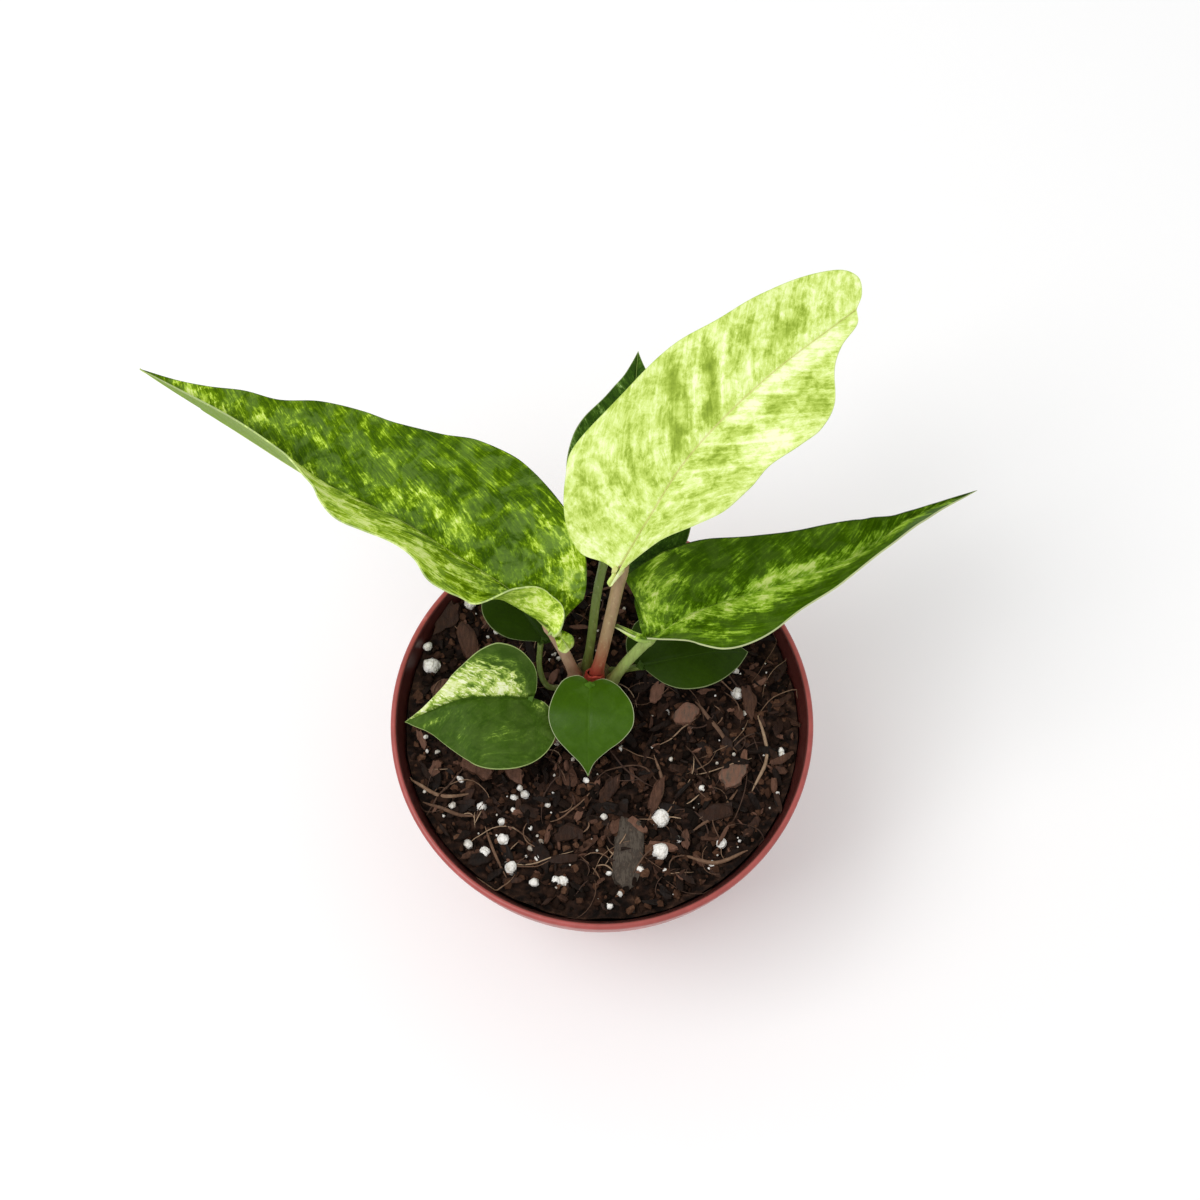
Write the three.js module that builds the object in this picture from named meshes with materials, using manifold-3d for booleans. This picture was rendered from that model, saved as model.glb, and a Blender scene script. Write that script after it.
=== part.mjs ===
// A small potted anthurium: eight leaves on stalks that rise from one crown, in a round nursery pot
// of potting mix. Millimetres, +Z up. The origin is the middle of the pot's underside.
import * as THREE from 'three';
import { mergeVertices } from 'three/addons/utils/BufferGeometryUtils.js';
import Module from 'manifold-3d';

const wasm = await Module();
wasm.setup();

// Driving dimensions
const GAP = 0.3; // clearance between pieces that touch
const CLEARANCE = 1.3 * GAP; // the same where a stalk is cut clear of its blade, whose faces slant
const SMALLEST_EDGE = 0.03; // finer detail is dropped after that cut

const POT = {
  height: 80,
  rimRadius: 51,
  rimThick: 1.7,
  bandHeight: 10.5,
  bandSlope: 0.6,
  bandRadius: 49.9,
  bodyRadius: 48.4,
  baseRadius: 35,
  wall: 1.3,
  floor: 1.8,
  cornerRadius: 2.4,
  segments: 48,
};

// The sheath round the foot of the top leaf's stalk. Its mouth is cut on a slope.
const SHEATH = { wall: 0.75, height: 9, mouthZ: 84.5, mouthTilt: 50, lean: 0.3, sides: 12 };

const DRAIN = { count: 8, radius: 3.4, ringRadius: 28.5, depth: 6, sides: 12 };

const SOIL = { level: 73.6, lump: 0.9, edgeRise: 1.2, rings: 9 };

// What lies on the soil. rise is how far its middle stands above the soil, in shares of its thickness.
// uneven is the most that a corner or a side is knocked back, in shares of its size.
const CHIP = { thick: 3, uneven: 0.35, tilt: 8, rise: 0.25 };
const GRAIN = { flat: 0.85, uneven: 0.25, rise: 0.12 };
const TWIG = { radius: 0.8, sides: 5, steps: 6, rise: 0.06 };

// The rootstock. Its neck is widest from just under the soil to just above it.
const CROWN = {
  x: -2.5,
  y: 10.8,
  topZ: 79.5,
  neckTopZ: 75.6,
  neckFootZ: 67.6,
  bottomZ: 50,
  topRadius: 3.4,
  neckRadius: 5.6,
  tailRadius: 3.2,
  sides: 20,
};

// inset sinks a stalk's end below the rib, in radii
const STALK = { sides: 8, steps: 10, inset: 0.35 };

// The paces crowd the rows of a blade towards its base, where the lobes are, and slant its veins
const BLADE = { midThick: 1.0, edgeThick: 0.62, ribDepth: 0.9, edgePace: 1.25, ribPace: 1.7 };

// Each leaf. spine is the midrib: the tip of its tail behind the stalk's joint, the joint, then on to
// the leaf's tip. Each half has an edge, drawn flat as
// [along the midrib from the joint, out from it], negative for the lobe behind the joint, and then how
// it lifts from flat and curls on its way out. Those are given at shares of the midrib's length, lift
// in degrees and curl in degrees for each 10 mm.
const LEAVES = [
  {
    name: 'left',
    spine: [[-7.2, 9.2, 103], [-11.2, 12.6, 109], [-20, 19.6, 113.5], [-32.4, 26.9, 117], [-46, 35, 119.5],
      [-64.5, 44.2, 121], [-86, 58.6, 120], [-109.4, 75.3, 116]],
    rows: 34,
    columns: 5,
    color: 0x5a8a1e,
    left: {
      edge: [[-7.4, 0], [-6.9, 1.5], [-5, 2.4], [-3.2, 1.9], [-1.8, 0.9], [0.5, 3], [1, 9], [6, 15],
        [13.5, 16.6], [20, 14.8], [24.5, 17.4], [29, 19.2], [33.5, 16.4], [40, 15.6], [47, 16.6],
        [53, 18.6], [57.5, 16.4], [61.5, 12], [68, 10.8], [76, 11], [86, 8.6], [98, 5], [108, 2.4]],
      lift: [[0, 12], [0.008, 58], [0.06, 40], [0.12, 38], [0.2, 48], [0.3, 59], [0.4, 58],
        [0.47, 63], [0.53, 72], [0.6, 84], [1, 88]],
      curl: [[0, 0], [0.008, 52], [0.06, 75], [0.11, 50], [0.17, 0], [1, 0]],
      ripple: { height: 0, count: 3, phase: 0 },
    },
    right: {
      edge: [[-7.4, 0], [-6.9, 1.5], [-5, 2.4], [-3.2, 1.9], [-1.8, 0.9], [-0.2, 4], [0.6, 9.5],
        [3.8, 14.5], [8, 19], [15, 23], [27, 26], [37, 24.8], [44, 21.7], [53, 19.8], [64, 18.9],
        [74, 15.9], [83, 11], [92, 8.5], [100, 5.2], [108, 2.5]],
      lift: [[0, 12], [0.008, 25], [0.3, 15], [1, 10]],
      curl: [[0, 0], [0.008, 5], [0.5, 0], [1, 0]],
      ripple: { height: 0.8, count: 3, phase: 1 },
    },
    stalk: { route: [[-6.2, 10.9, 78], [-9.2, 12.5, 94]], radius: 1.5, color: 0xb08a72 },
  },
  {
    name: 'top',
    spine: [[1.7, 15.3, 130], [3.7, 18.5, 131.5], [9.4, 26.4, 138], [19, 39.6, 145], [35, 54.6, 151],
      [55, 69.6, 155]],
    rows: 28,
    columns: 5,
    color: 0xcfe98a,
    left: {
      edge: [[-4.4, 0], [-3.8, 0.9], [-1, 0.9], [-0.4, 3.4], [-1.1, 9], [2.3, 14.3], [10.8, 19.9],
        [17.3, 22], [29.5, 19.9], [44, 19.4], [54, 16.8], [63, 15.5], [72.4, 13.3], [80.4, 9.2],
        [82.4, 5.5], [80.6, 2]],
      lift: [[0, 15], [0.4, 8], [1, 5]],
      curl: [[0, 0], [1, 0]],
      ripple: { height: 0.4, count: 3, phase: 0 },
    },
    right: {
      edge: [[-4.4, 0], [-3.8, 0.9], [-0.8, 1.2], [6, 6], [13, 11], [18, 14.6], [24, 17.2], [32, 16.7],
        [39, 15.9], [47, 18.2], [52.3, 18.9], [59, 15.9], [65, 8.8], [69.3, 5.8], [75, 3.8]],
      lift: [[0, 60], [0.15, 55], [0.3, 28], [0.45, 18], [0.7, 15], [1, 30]],
      curl: [[0, 0], [1, 0]],
      ripple: { height: 0.8, count: 3, phase: 2 },
    },
    stalk: { route: [[-1.6, 10.4, 79], [0.8, 12, 103]], radius: 1.55, color: 0xa8825f },
  },
  {
    name: 'right',
    spine: [[2.7, 13.9, 107], [10.1, 11.5, 106], [20, 16.2, 109], [37.5, 21.2, 112.5], [49.7, 24.8, 114.5],
      [60.5, 29.4, 115.5], [70, 36.6, 116], [87.1, 44.9, 114]],
    rows: 24,
    columns: 5,
    color: 0x4f7d1c,
    left: {
      edge: [[-7.6, 0], [-7.2, 0.8], [-1.2, 0.9], [-3.2, 3.6], [-6.4, 8], [-5, 13], [2, 16.5], [11, 17],
        [19, 16.6], [27.7, 14.3], [36.4, 12.4], [50.2, 10.4], [58.5, 7.3], [64, 3.2], [70, 1.6]],
      lift: [[0, 40], [0.5, 50], [1, 60]],
      curl: [[0, 0], [1, 0]],
      ripple: { height: 0.5, count: 2, phase: 0 },
    },
    right: {
      edge: [[-7.6, 0], [-7.2, 0.8], [-0.5, 1], [4, 6], [8, 11.4], [12, 16.2], [17, 18.6], [25, 17.4],
        [35.2, 14], [44, 13.6], [54, 12.2], [65, 9], [75, 3.6]],
      lift: [[0, 60], [0.2, 40], [0.35, 38], [0.5, 50], [0.65, 66], [0.8, 60], [1, 50]],
      curl: [[0, 0], [1, 0]],
      ripple: { height: 0.4, count: 2, phase: 1 },
    },
    stalk: { route: [[2.3, 9.8, 78], [6.2, 10.9, 91]], radius: 1.4, color: 0xa3bb62 },
  },
  {
    name: 'back',
    spine: [[0, 24.6, 112], [1.1, 29.7, 114], [3.6, 40.3, 119], [6.9, 58.6, 123], [8.4, 75.8, 124]],
    rows: 18,
    columns: 4,
    color: 0x3c5f1a,
    left: {
      edge: [[-0.8, 0], [-2.2, 2.2], [-0.6, 4.6], [4, 7.6], [9, 11], [15.6, 14.6], [23, 14.6], [28, 12.6],
        [34.3, 7.9], [38, 5.4], [41.6, 3], [45.2, 1.3]],
      lift: [[0, 22], [0.3, 35], [1, 25]],
      curl: [[0, 0], [1, 0]],
      ripple: { height: 0.3, count: 2, phase: 0 },
    },
    right: {
      edge: [[-0.8, 0], [-4, 4], [-2, 11], [3.4, 16.8], [9, 18.2], [20, 16], [30, 10.5], [38, 5.4],
        [44, 2]],
      lift: [[0, 10], [1, 20]],
      curl: [[0, 0], [1, 0]],
      ripple: { height: 0.3, count: 2, phase: 0 },
    },
    stalk: {
      route: [[-3.7, 13.2, 79], [-2.6, 16, 91], [-0.9, 23.5, 106.5]],
      radius: 1.15,
      color: 0x73873c,
    },
  },
  {
    name: 'heart_left',
    spine: [[-13.6, 3.1, 86], [-17.1, 2.8, 87], [-24.1, 2.3, 89.5], [-33.6, 1.4, 90], [-47, -2.2, 84]],
    rows: 18,
    columns: 4,
    color: 0x5d8a3c,
    left: {
      edge: [[-0.8, 0], [-3.6, 1.4], [-5.6, 5], [-5, 10.4], [-1, 15.2], [5, 18], [11, 17.8], [17, 15.6],
        [22, 10.8], [26.4, 5.2], [30, 2]],
      lift: [[0, 5], [1, 5]],
      curl: [[0, 0], [1, 0]],
      ripple: { height: 0.3, count: 2, phase: 0 },
    },
    right: {
      edge: [[-0.8, 0], [-1.2, 3], [-0.4, 7.2], [3, 10.8], [6.5, 13.6], [9, 14], [12, 12.2], [15.4, 8.2],
        [19, 4.8], [25, 2]],
      lift: [[0, 45], [1, 40]],
      curl: [[0, 0], [1, 0]],
      ripple: { height: 0.3, count: 2, phase: 0 },
    },
    stalk: { route: [[-5.6, 6.8, 77], [-9, 1.8, 79.5], [-13.5, 0.8, 83]], radius: 0.85, color: 0x7f9248 },
  },
  {
    name: 'heart_front',
    spine: [[-2.7, 8.3, 87], [-2.9, 5.5, 88], [-3.1, -2, 89], [-3.3, -8.6, 86.5], [-3.3, -14.8, 81.5]],
    rows: 16,
    columns: 4,
    color: 0x4c7d1e,
    left: {
      edge: [[-0.8, 0], [-2.2, 3], [-1.2, 5.6], [0.9, 7.7], [5, 10.2], [9.6, 10.5], [13, 8.2], [16, 4.6],
        [19, 1.6]],
      lift: [[0, 5], [1, 5]],
      curl: [[0, -10], [1, -10]],
      ripple: { height: 0.2, count: 2, phase: 0 },
    },
    right: {
      edge: [[-0.8, 0], [-2.6, 2.6], [-2, 5], [0, 7.2], [5.3, 9.3], [9.1, 9.4], [12.6, 7.9], [16, 4.8],
        [19.2, 1.9]],
      lift: [[0, 5], [1, 5]],
      curl: [[0, -10], [1, -10]],
      ripple: { height: 0.2, count: 2, phase: 0 },
    },
    stalk: { route: [[-1.5, 6.8, 77.5], [-1.8, 4.2, 82]], radius: 0.85, color: 0x7f9248 },
  },
  {
    name: 'low_left',
    spine: [[-13, 15.4, 85.5], [-14.2, 17.3, 86.5], [-18.5, 23.2, 88.3], [-23, 29.2, 88.5],
      [-27.5, 35, 86.5]],
    rows: 16,
    columns: 4,
    color: 0x2f4a14,
    left: {
      edge: [[-0.8, 0], [0.4, 1], [3.2, 4.6], [6, 7.2], [10, 8.6], [14.2, 8], [18, 5], [21, 2]],
      lift: [[0, 5], [1, 5]],
      curl: [[0, 0], [1, 0]],
      ripple: { height: 0.2, count: 2, phase: 0 },
    },
    right: {
      edge: [[-0.8, 0], [-1, 2], [0.5, 4.5], [5, 8], [10, 8.5], [15, 6], [19, 2.6]],
      lift: [[0, 10], [1, 5]],
      curl: [[0, 0], [1, 0]],
      ripple: { height: 0.2, count: 2, phase: 0 },
    },
    stalk: { route: [[-7, 9, 76.5], [-13, 8.4, 78.5], [-15.1, 12, 81.5]], radius: 0.75, color: 0x6d8436 },
  },
  {
    name: 'low_right',
    spine: [[6.7, 11, 85], [9.4, 11.2, 86], [18.7, 12.5, 88], [27.1, 14.2, 87.5], [35.3, 15.2, 84.5]],
    rows: 16,
    columns: 4,
    color: 0x355017,
    left: {
      edge: [[-0.8, 0], [-3, 3], [-2.5, 8], [3, 12], [10, 12], [17, 8], [22, 3.5]],
      lift: [[0, 5], [1, 5]],
      curl: [[0, 0], [1, 0]],
      ripple: { height: 0.2, count: 2, phase: 0 },
    },
    right: {
      edge: [[-0.8, 0], [0.6, 1], [3, 3.7], [5.1, 5.8], [8.3, 7.7], [12.5, 8.5], [16, 8.1], [19.3, 6.9],
        [23.2, 4.3], [25.4, 2]],
      lift: [[0, 5], [1, 5]],
      curl: [[0, 0], [1, 0]],
      ripple: { height: 0.2, count: 2, phase: 0 },
    },
    stalk: { route: [[2.4, 12.8, 77], [5.2, 11.9, 81]], radius: 0.85, color: 0x6d8436 },
  },
];

const rad = THREE.MathUtils.degToRad;

// Curve helpers: a smooth value through stations [place, value, ...], by Hermite steps

function smoothAt(stations, place) {
  const last = stations.length - 1;
  if (place <= stations[0][0]) return stations[0].slice(1);
  if (place >= stations[last][0]) return stations[last].slice(1);
  const i = stations.findIndex((station) => station[0] > place) - 1;
  const slope = (k, axis) => {
    const before = stations[Math.max(k - 1, 0)];
    const after = stations[Math.min(k + 1, last)];
    return (after[axis] - before[axis]) / (after[0] - before[0]);
  };
  const [start, end] = [stations[i], stations[i + 1]];
  const span = end[0] - start[0];
  const t = (place - start[0]) / span;
  return start.slice(1).map((value, k) => {
    const axis = k + 1;
    const bend = t * t * (3 - 2 * t);
    const rise = t * (1 - t) * ((1 - t) * slope(i, axis) - t * slope(i + 1, axis)) * span;
    return value + (end[axis] - value) * bend + rise;
  });
}

// Points in order become stations, each placed at its distance along the straight steps
function byLength(points) {
  let travelled = 0;
  return points.map((point, i) => {
    if (i > 0) travelled += Math.hypot(...point.map((value, k) => value - points[i - 1][k]));
    return [travelled, ...point];
  });
}

// Blade

const DELTA = 0.05; // step for slopes, in mm

// Works out a leaf's lengths: distances along the spine are counted from the joint
function prepare(leaf) {
  const fromTail = byLength(leaf.spine);
  const tail = fromTail[1][0];
  const spine = fromTail.map(([distance, ...point]) => [distance - tail, ...point]);
  const length = spine.at(-1)[0];
  const half = ({ edge, ...bends }) => ({ ...bends, edge: byLength([...edge, [length, 0]]) });
  return { ...leaf, spine, length, tail, left: half(leaf.left), right: half(leaf.right) };
}

// Where the midrib is at a distance from the joint, with its forward and upward directions
function spineFrame(leaf, along) {
  const place = THREE.MathUtils.clamp(along, DELTA - leaf.tail, leaf.length - DELTA);
  const at = (distance) => new THREE.Vector3(...smoothAt(leaf.spine, distance));
  const ahead = at(place + DELTA).sub(at(place - DELTA)).normalize();
  const up = new THREE.Vector3(0, 0, 1).addScaledVector(ahead, -ahead.z).normalize();
  const origin = at(place).addScaledVector(ahead, along - place);
  return { origin, ahead, up };
}

// A point of the blade's middle surface, from its flat place on one half (side -1 left, +1 right)
function bladePoint(leaf, side, along, out) {
  const half = side < 0 ? leaf.left : leaf.right;
  const { origin, ahead, up } = spineFrame(leaf, along);
  const share = THREE.MathUtils.clamp(along / leaf.length, 0, 1);
  const lift = rad(smoothAt(half.lift, share)[0]);
  const curl = rad(smoothAt(half.curl, share)[0]) / 10;
  const turned = curl * out;
  const straight = Math.abs(turned) < 1e-3;
  const chord = straight ? out : (2 * Math.sin(turned / 2)) / curl;
  const tilt = lift + turned / 2;
  const { height, count, phase } = half.ripple;
  const ripple = height * (out / 15) ** 2 * Math.sin(2 * Math.PI * count * share + phase);
  const aside = new THREE.Vector3().crossVectors(ahead, up).multiplyScalar(side);
  return origin
    .addScaledVector(aside, chord * Math.cos(tilt) - ripple * Math.sin(tilt))
    .addScaledVector(up, chord * Math.sin(tilt) + ripple * Math.cos(tilt));
}

// The flat place that is a share of the way from the midrib to the edge, on the ray of one row
function flatPlace(leaf, side, row, reach) {
  const edge = (side < 0 ? leaf.left : leaf.right).edge;
  const [edgeAlong, edgeOut] = smoothAt(edge, row ** BLADE.edgePace * edge.at(-1)[0]);
  const ribAlong = leaf.length * row ** BLADE.ribPace;
  return [THREE.MathUtils.lerp(ribAlong, edgeAlong, reach), Math.max(edgeOut, 0) * reach];
}

function bladeNormal(leaf, side, along, out) {
  const middle = bladePoint(leaf, side, along, out);
  const ahead = bladePoint(leaf, side, along + DELTA, out).sub(middle);
  const aside = bladePoint(leaf, side, along, out + DELTA).sub(middle).multiplyScalar(side);
  return aside.cross(ahead).normalize();
}

// A row of points on both halves, from the left edge over the midrib to the right edge
function bladeRow(leaf, row) {
  const { columns } = leaf;
  const rowPoints = [];
  for (let column = -columns; column <= columns; column += 1) {
    const side = Math.sign(column) || 1;
    const reach = Math.abs(column) / columns;
    const [along, out] = flatPlace(leaf, side, row, reach);
    const middle = bladePoint(leaf, side, along, out);
    const onRib = out < 1e-9;
    const normal = onRib ? spineFrame(leaf, along).up : bladeNormal(leaf, side, along, out);
    const thin = row === 0 || row === 1 ? 1 : reach;
    const thick = THREE.MathUtils.lerp(BLADE.midThick, BLADE.edgeThick, thin) / 2;
    const rib = onRib ? BLADE.ribDepth * (1 - row) ** 0.5 : 0;
    rowPoints.push({
      top: middle.clone().addScaledVector(normal, thick),
      under: middle.clone().addScaledVector(normal, -thick - rib),
    });
  }
  return rowPoints;
}

// The blade as one closed body: two faces split alike and a narrow edge all round
function bladeGeometry(leaf) {
  const rows = [];
  for (let i = 0; i <= leaf.rows; i += 1) rows.push(bladeRow(leaf, i / leaf.rows));
  const corners = [];
  const quad = (a, b, c, d) => corners.push(a, b, c, a, c, d);
  for (let i = 0; i < leaf.rows; i += 1) {
    const [near, far] = [rows[i], rows[i + 1]];
    for (let j = 0; j + 1 < near.length; j += 1) {
      quad(near[j].top, near[j + 1].top, far[j + 1].top, far[j].top);
      corners.push(near[j].under, far[j + 1].under, near[j + 1].under);
      corners.push(near[j].under, far[j].under, far[j + 1].under);
    }
    const end = near.length - 1;
    quad(near[0].under, near[0].top, far[0].top, far[0].under);
    quad(near[end].top, near[end].under, far[end].under, far[end].top);
  }
  return new THREE.BufferGeometry().setFromPoints(corners);
}

// Solids

// Merges shared corners and drops triangles that have closed up
function weld(geometry) {
  geometry.deleteAttribute('normal');
  geometry.deleteAttribute('uv');
  const merged = mergeVertices(geometry, 1e-4);
  const index = merged.index.array;
  const kept = [];
  for (let i = 0; i < index.length; i += 3) {
    const [a, b, c] = index.slice(i, i + 3);
    if (a !== b && b !== c && c !== a) kept.push(a, b, c);
  }
  merged.setIndex(kept);
  return merged;
}

function toSolid(geometry) {
  const merged = weld(geometry);
  return new wasm.Manifold(new wasm.Mesh({
    numProp: 3,
    vertProperties: merged.attributes.position.array,
    triVerts: Uint32Array.from(merged.index.array),
  }));
}

function toGeometry(solid) {
  const mesh = solid.getMesh();
  const geometry = new THREE.BufferGeometry();
  geometry.setAttribute('position', new THREE.BufferAttribute(mesh.vertProperties, mesh.numProp));
  geometry.setIndex(Array.from(mesh.triVerts));
  geometry.computeVertexNormals();
  return geometry;
}

const largestPiece = (solid) => solid.decompose().sort((a, b) => b.volume() - a.volume())[0];

// A seeded source of numbers from 0 to 1
function seededRandom(seed) {
  let state = seed;
  return () => {
    state = (state * 1664525 + 1013904223) % 4294967296;
    return state / 4294967296;
  };
}

// Pot

function lathe(profile, segments) {
  const turned = new THREE.LatheGeometry(profile.map(([r, z]) => new THREE.Vector2(r, z)), segments);
  return turned.rotateX(Math.PI / 2);
}

// The inner wall's radius at a height
function innerRadius(z) {
  const bandFoot = POT.height - POT.bandHeight;
  const share = THREE.MathUtils.clamp(z / bandFoot, 0, 1);
  const body = THREE.MathUtils.lerp(POT.baseRadius, POT.bodyRadius, share) - POT.wall;
  if (z < bandFoot) return body;
  const above = (z - bandFoot) / POT.bandHeight;
  return THREE.MathUtils.lerp(body, POT.rimRadius - POT.rimThick, above);
}

// Points along a round stretch of a profile, between two angles in degrees
function arc(middleRadius, middleZ, radius, from, to, steps) {
  return Array.from({ length: steps + 1 }, (_, i) => {
    const angle = rad(THREE.MathUtils.lerp(from, to, i / steps));
    return [middleRadius + radius * Math.cos(angle), middleZ + radius * Math.sin(angle)];
  });
}

function potSolid() {
  const { height, rimRadius, bandHeight, bandRadius, bodyRadius, baseRadius, cornerRadius, floor } = POT;
  const bandFoot = height - bandHeight;
  const bead = POT.rimThick / 2;
  const profile = [
    [0, 0],
    ...arc(baseRadius - cornerRadius, cornerRadius, cornerRadius, -90, 0, 3),
    [bodyRadius, bandFoot - POT.bandSlope],
    [bandRadius, bandFoot],
    ...arc(rimRadius - bead, height - bead, bead, 0, 180, 4),
    [innerRadius(bandFoot), bandFoot],
    [innerRadius(floor + cornerRadius), floor + cornerRadius],
    [innerRadius(0) - cornerRadius, floor],
    [0, floor],
  ];
  let pot = toSolid(lathe(profile, POT.segments));
  for (let i = 0; i < DRAIN.count; i += 1) {
    const angle = (2 * Math.PI * i) / DRAIN.count;
    const drain = new THREE.CylinderGeometry(DRAIN.radius, DRAIN.radius, DRAIN.depth, DRAIN.sides);
    drain.rotateX(Math.PI / 2);
    drain.translate(DRAIN.ringRadius * Math.cos(angle), DRAIN.ringRadius * Math.sin(angle), 0);
    pot = pot.subtract(toSolid(drain));
  }
  return pot;
}

// Crown: the short rootstock, with its tail down in the soil

function crownSolid(grow = 0) {
  const { topZ, neckTopZ, neckFootZ, bottomZ, topRadius, neckRadius, tailRadius } = CROWN;
  const profile = [
    [0, bottomZ - grow],
    [tailRadius + grow, bottomZ - grow],
    [neckRadius + grow, neckFootZ],
    [neckRadius + grow, neckTopZ],
    [topRadius + grow, topZ + grow],
    [0, topZ + grow],
  ];
  return toSolid(lathe(profile, CROWN.sides).translate(CROWN.x, CROWN.y, 0));
}

// Soil

// The lumpy top of the mix, a little higher towards the pot's wall
function soilHeight(x, y) {
  const lumps = Math.sin(0.31 * x + 0.9) * Math.cos(0.27 * y - 0.4)
    + 0.6 * Math.sin(0.63 * x - 0.52 * y + 1.7)
    + 0.4 * Math.sin(0.9 * y + 0.5 * x);
  const fromMiddle = Math.hypot(x, y) / POT.rimRadius;
  return SOIL.level + SOIL.lump * lumps + SOIL.edgeRise * fromMiddle ** 4;
}

// The room inside the pot, a gap clear of its wall and floor
function innerSpace() {
  const bandFoot = POT.height - POT.bandHeight;
  const low = POT.floor + POT.cornerRadius;
  const profile = [
    [0, POT.floor + GAP],
    [innerRadius(0) - POT.cornerRadius - GAP, POT.floor + GAP],
    [innerRadius(low) - GAP, low + GAP],
    [innerRadius(bandFoot) - GAP, bandFoot],
    [innerRadius(POT.height) - GAP, POT.height],
    [0, POT.height],
  ];
  return toSolid(lathe(profile, POT.segments));
}

// The mix under its lumpy top, wide enough to be cut to the room inside the pot
function soilBody() {
  const around = POT.segments;
  const spot = (ring, segment) => {
    const angle = (2 * Math.PI * segment) / around;
    const radius = (POT.rimRadius * ring) / SOIL.rings;
    const [x, y] = [radius * Math.cos(angle), radius * Math.sin(angle)];
    return new THREE.Vector3(x, y, soilHeight(x, y));
  };
  const foot = (segment) => spot(SOIL.rings, segment).setZ(0);
  const middle = new THREE.Vector3(0, 0, 0);
  const corners = [];
  const quad = (a, b, c, d) => corners.push(a, b, c, a, c, d);
  for (let s = 0; s < around; s += 1) {
    const next = (s + 1) % around;
    for (let ring = 0; ring < SOIL.rings; ring += 1) {
      quad(spot(ring, s), spot(ring + 1, s), spot(ring + 1, next), spot(ring, next));
    }
    quad(spot(SOIL.rings, s), foot(s), foot(next), spot(SOIL.rings, next));
    corners.push(foot(s), middle, foot(next));
  }
  return toSolid(new THREE.BufferGeometry().setFromPoints(corners));
}

// Larger pieces on the soil, [x, y, length, width, turn in degrees]
const BARK = [
  [6.2, -32, 17, 7, 84],
  [20, 1.5, 7, 5, 30],
  [30.5, -13.5, 8, 6, 50],
  [-29, -11, 8, 5, -20],
  [-22, -13, 7, 4, 40],
  [-38, 27, 9, 5, 60],
  [-31, 20, 8, 5, 10],
  [12, -20, 9, 4, 70],
  [-8, -27, 8, 5, 15],
  [36, 6, 8, 4, 100],
  [22, 28, 10, 6, 35],
  [-10, 38, 9, 6, 160],
];

// Twigs and fibres, each a few points on the soil as [x, y]
const TWIGS = [
  [[22, 7], [27, 0], [31, -8]],
  [[-45, -17], [-36, -22], [-29, -23]],
  [[-27, -25], [-24, -32], [-21, -39]],
  [[17, -35], [25, -38], [33, -33]],
  [[38, 2], [40, -8], [36, -17]],
  [[-3, 34], [8, 37], [16, 34]],
];

// Perlite grains, [x, y, diameter]
const PERLITE = [
  [-42, 15, 4.6], [-40, 20, 3], [33, 8, 3.2], [14.5, -23, 4.6], [15, -32, 3.6], [28, -29, 2.4],
  [-26.5, -20.5, 3], [-19, -17.5, 3], [-21, -28.5, 3], [-29, -30.5, 3], [-19, -36, 3.4], [-11, -39, 2.6],
  [-20, 35, 3.2], [34, 25, 3], [5, 43, 3.4], [-33, 31, 3],
];

function barkSolid([x, y, length, width, turn], random) {
  const chip = weld(new THREE.BoxGeometry(length, width, CHIP.thick));
  const place = chip.attributes.position;
  const knocked = (value) => value * (1 - CHIP.uneven * random());
  for (let i = 0; i < place.count; i += 1) {
    place.setXYZ(i, knocked(place.getX(i)), knocked(place.getY(i)), knocked(place.getZ(i)));
  }
  chip.rotateX(rad(CHIP.tilt * (2 * random() - 1)));
  chip.rotateZ(rad(turn));
  chip.translate(x, y, soilHeight(x, y) + CHIP.rise * CHIP.thick);
  return toSolid(chip);
}

function grainSolid([x, y, diameter], random) {
  const grain = new THREE.IcosahedronGeometry(diameter / 2, 0);
  grain.scale(1, 1 - GRAIN.uneven * random(), GRAIN.flat);
  grain.rotateZ(2 * Math.PI * random());
  grain.translate(x, y, soilHeight(x, y) + GRAIN.rise * diameter);
  return toSolid(grain);
}

function twigSolid(points) {
  const rise = TWIG.rise * 2 * TWIG.radius;
  const path = new THREE.CatmullRomCurve3(
    points.map(([x, y]) => new THREE.Vector3(x, y, soilHeight(x, y) + rise)),
  );
  return toSolid(tube(path, TWIG.radius, TWIG.sides, TWIG.steps));
}

function tube(path, radius, sides, steps) {
  const section = new THREE.Shape();
  for (let i = 0; i < sides; i += 1) {
    const angle = (2 * Math.PI * i) / sides;
    const [x, y] = [radius * Math.cos(angle), radius * Math.sin(angle)];
    if (i === 0) section.moveTo(x, y);
    else section.lineTo(x, y);
  }
  section.closePath();
  return new THREE.ExtrudeGeometry(section, { steps, bevelEnabled: false, extrudePath: path });
}

function soilSolid() {
  const random = seededRandom(7);
  const lumps = [
    ...BARK.map((chip) => barkSolid(chip, random)),
    ...PERLITE.map((grain) => grainSolid(grain, random)),
    ...TWIGS.map(twigSolid),
  ];
  const filled = lumps.reduce((soil, lump) => soil.add(lump), soilBody());
  return largestPiece(filled.intersect(innerSpace()).subtract(crownSolid(GAP)));
}

// Stalks

function stalkPath(leaf) {
  const { route, radius } = leaf.stalk;
  const joint = spineFrame(leaf, radius);
  const depth = BLADE.midThick / 2 + BLADE.ribDepth + GAP + STALK.inset * radius;
  const end = joint.origin.addScaledVector(joint.up, -depth);
  return new THREE.CatmullRomCurve3([...route.map((point) => new THREE.Vector3(...point)), end]);
}

function stalkTube(leaf, grow = 0) {
  return toSolid(tube(stalkPath(leaf), leaf.stalk.radius + grow, STALK.sides, STALK.steps));
}

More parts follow.
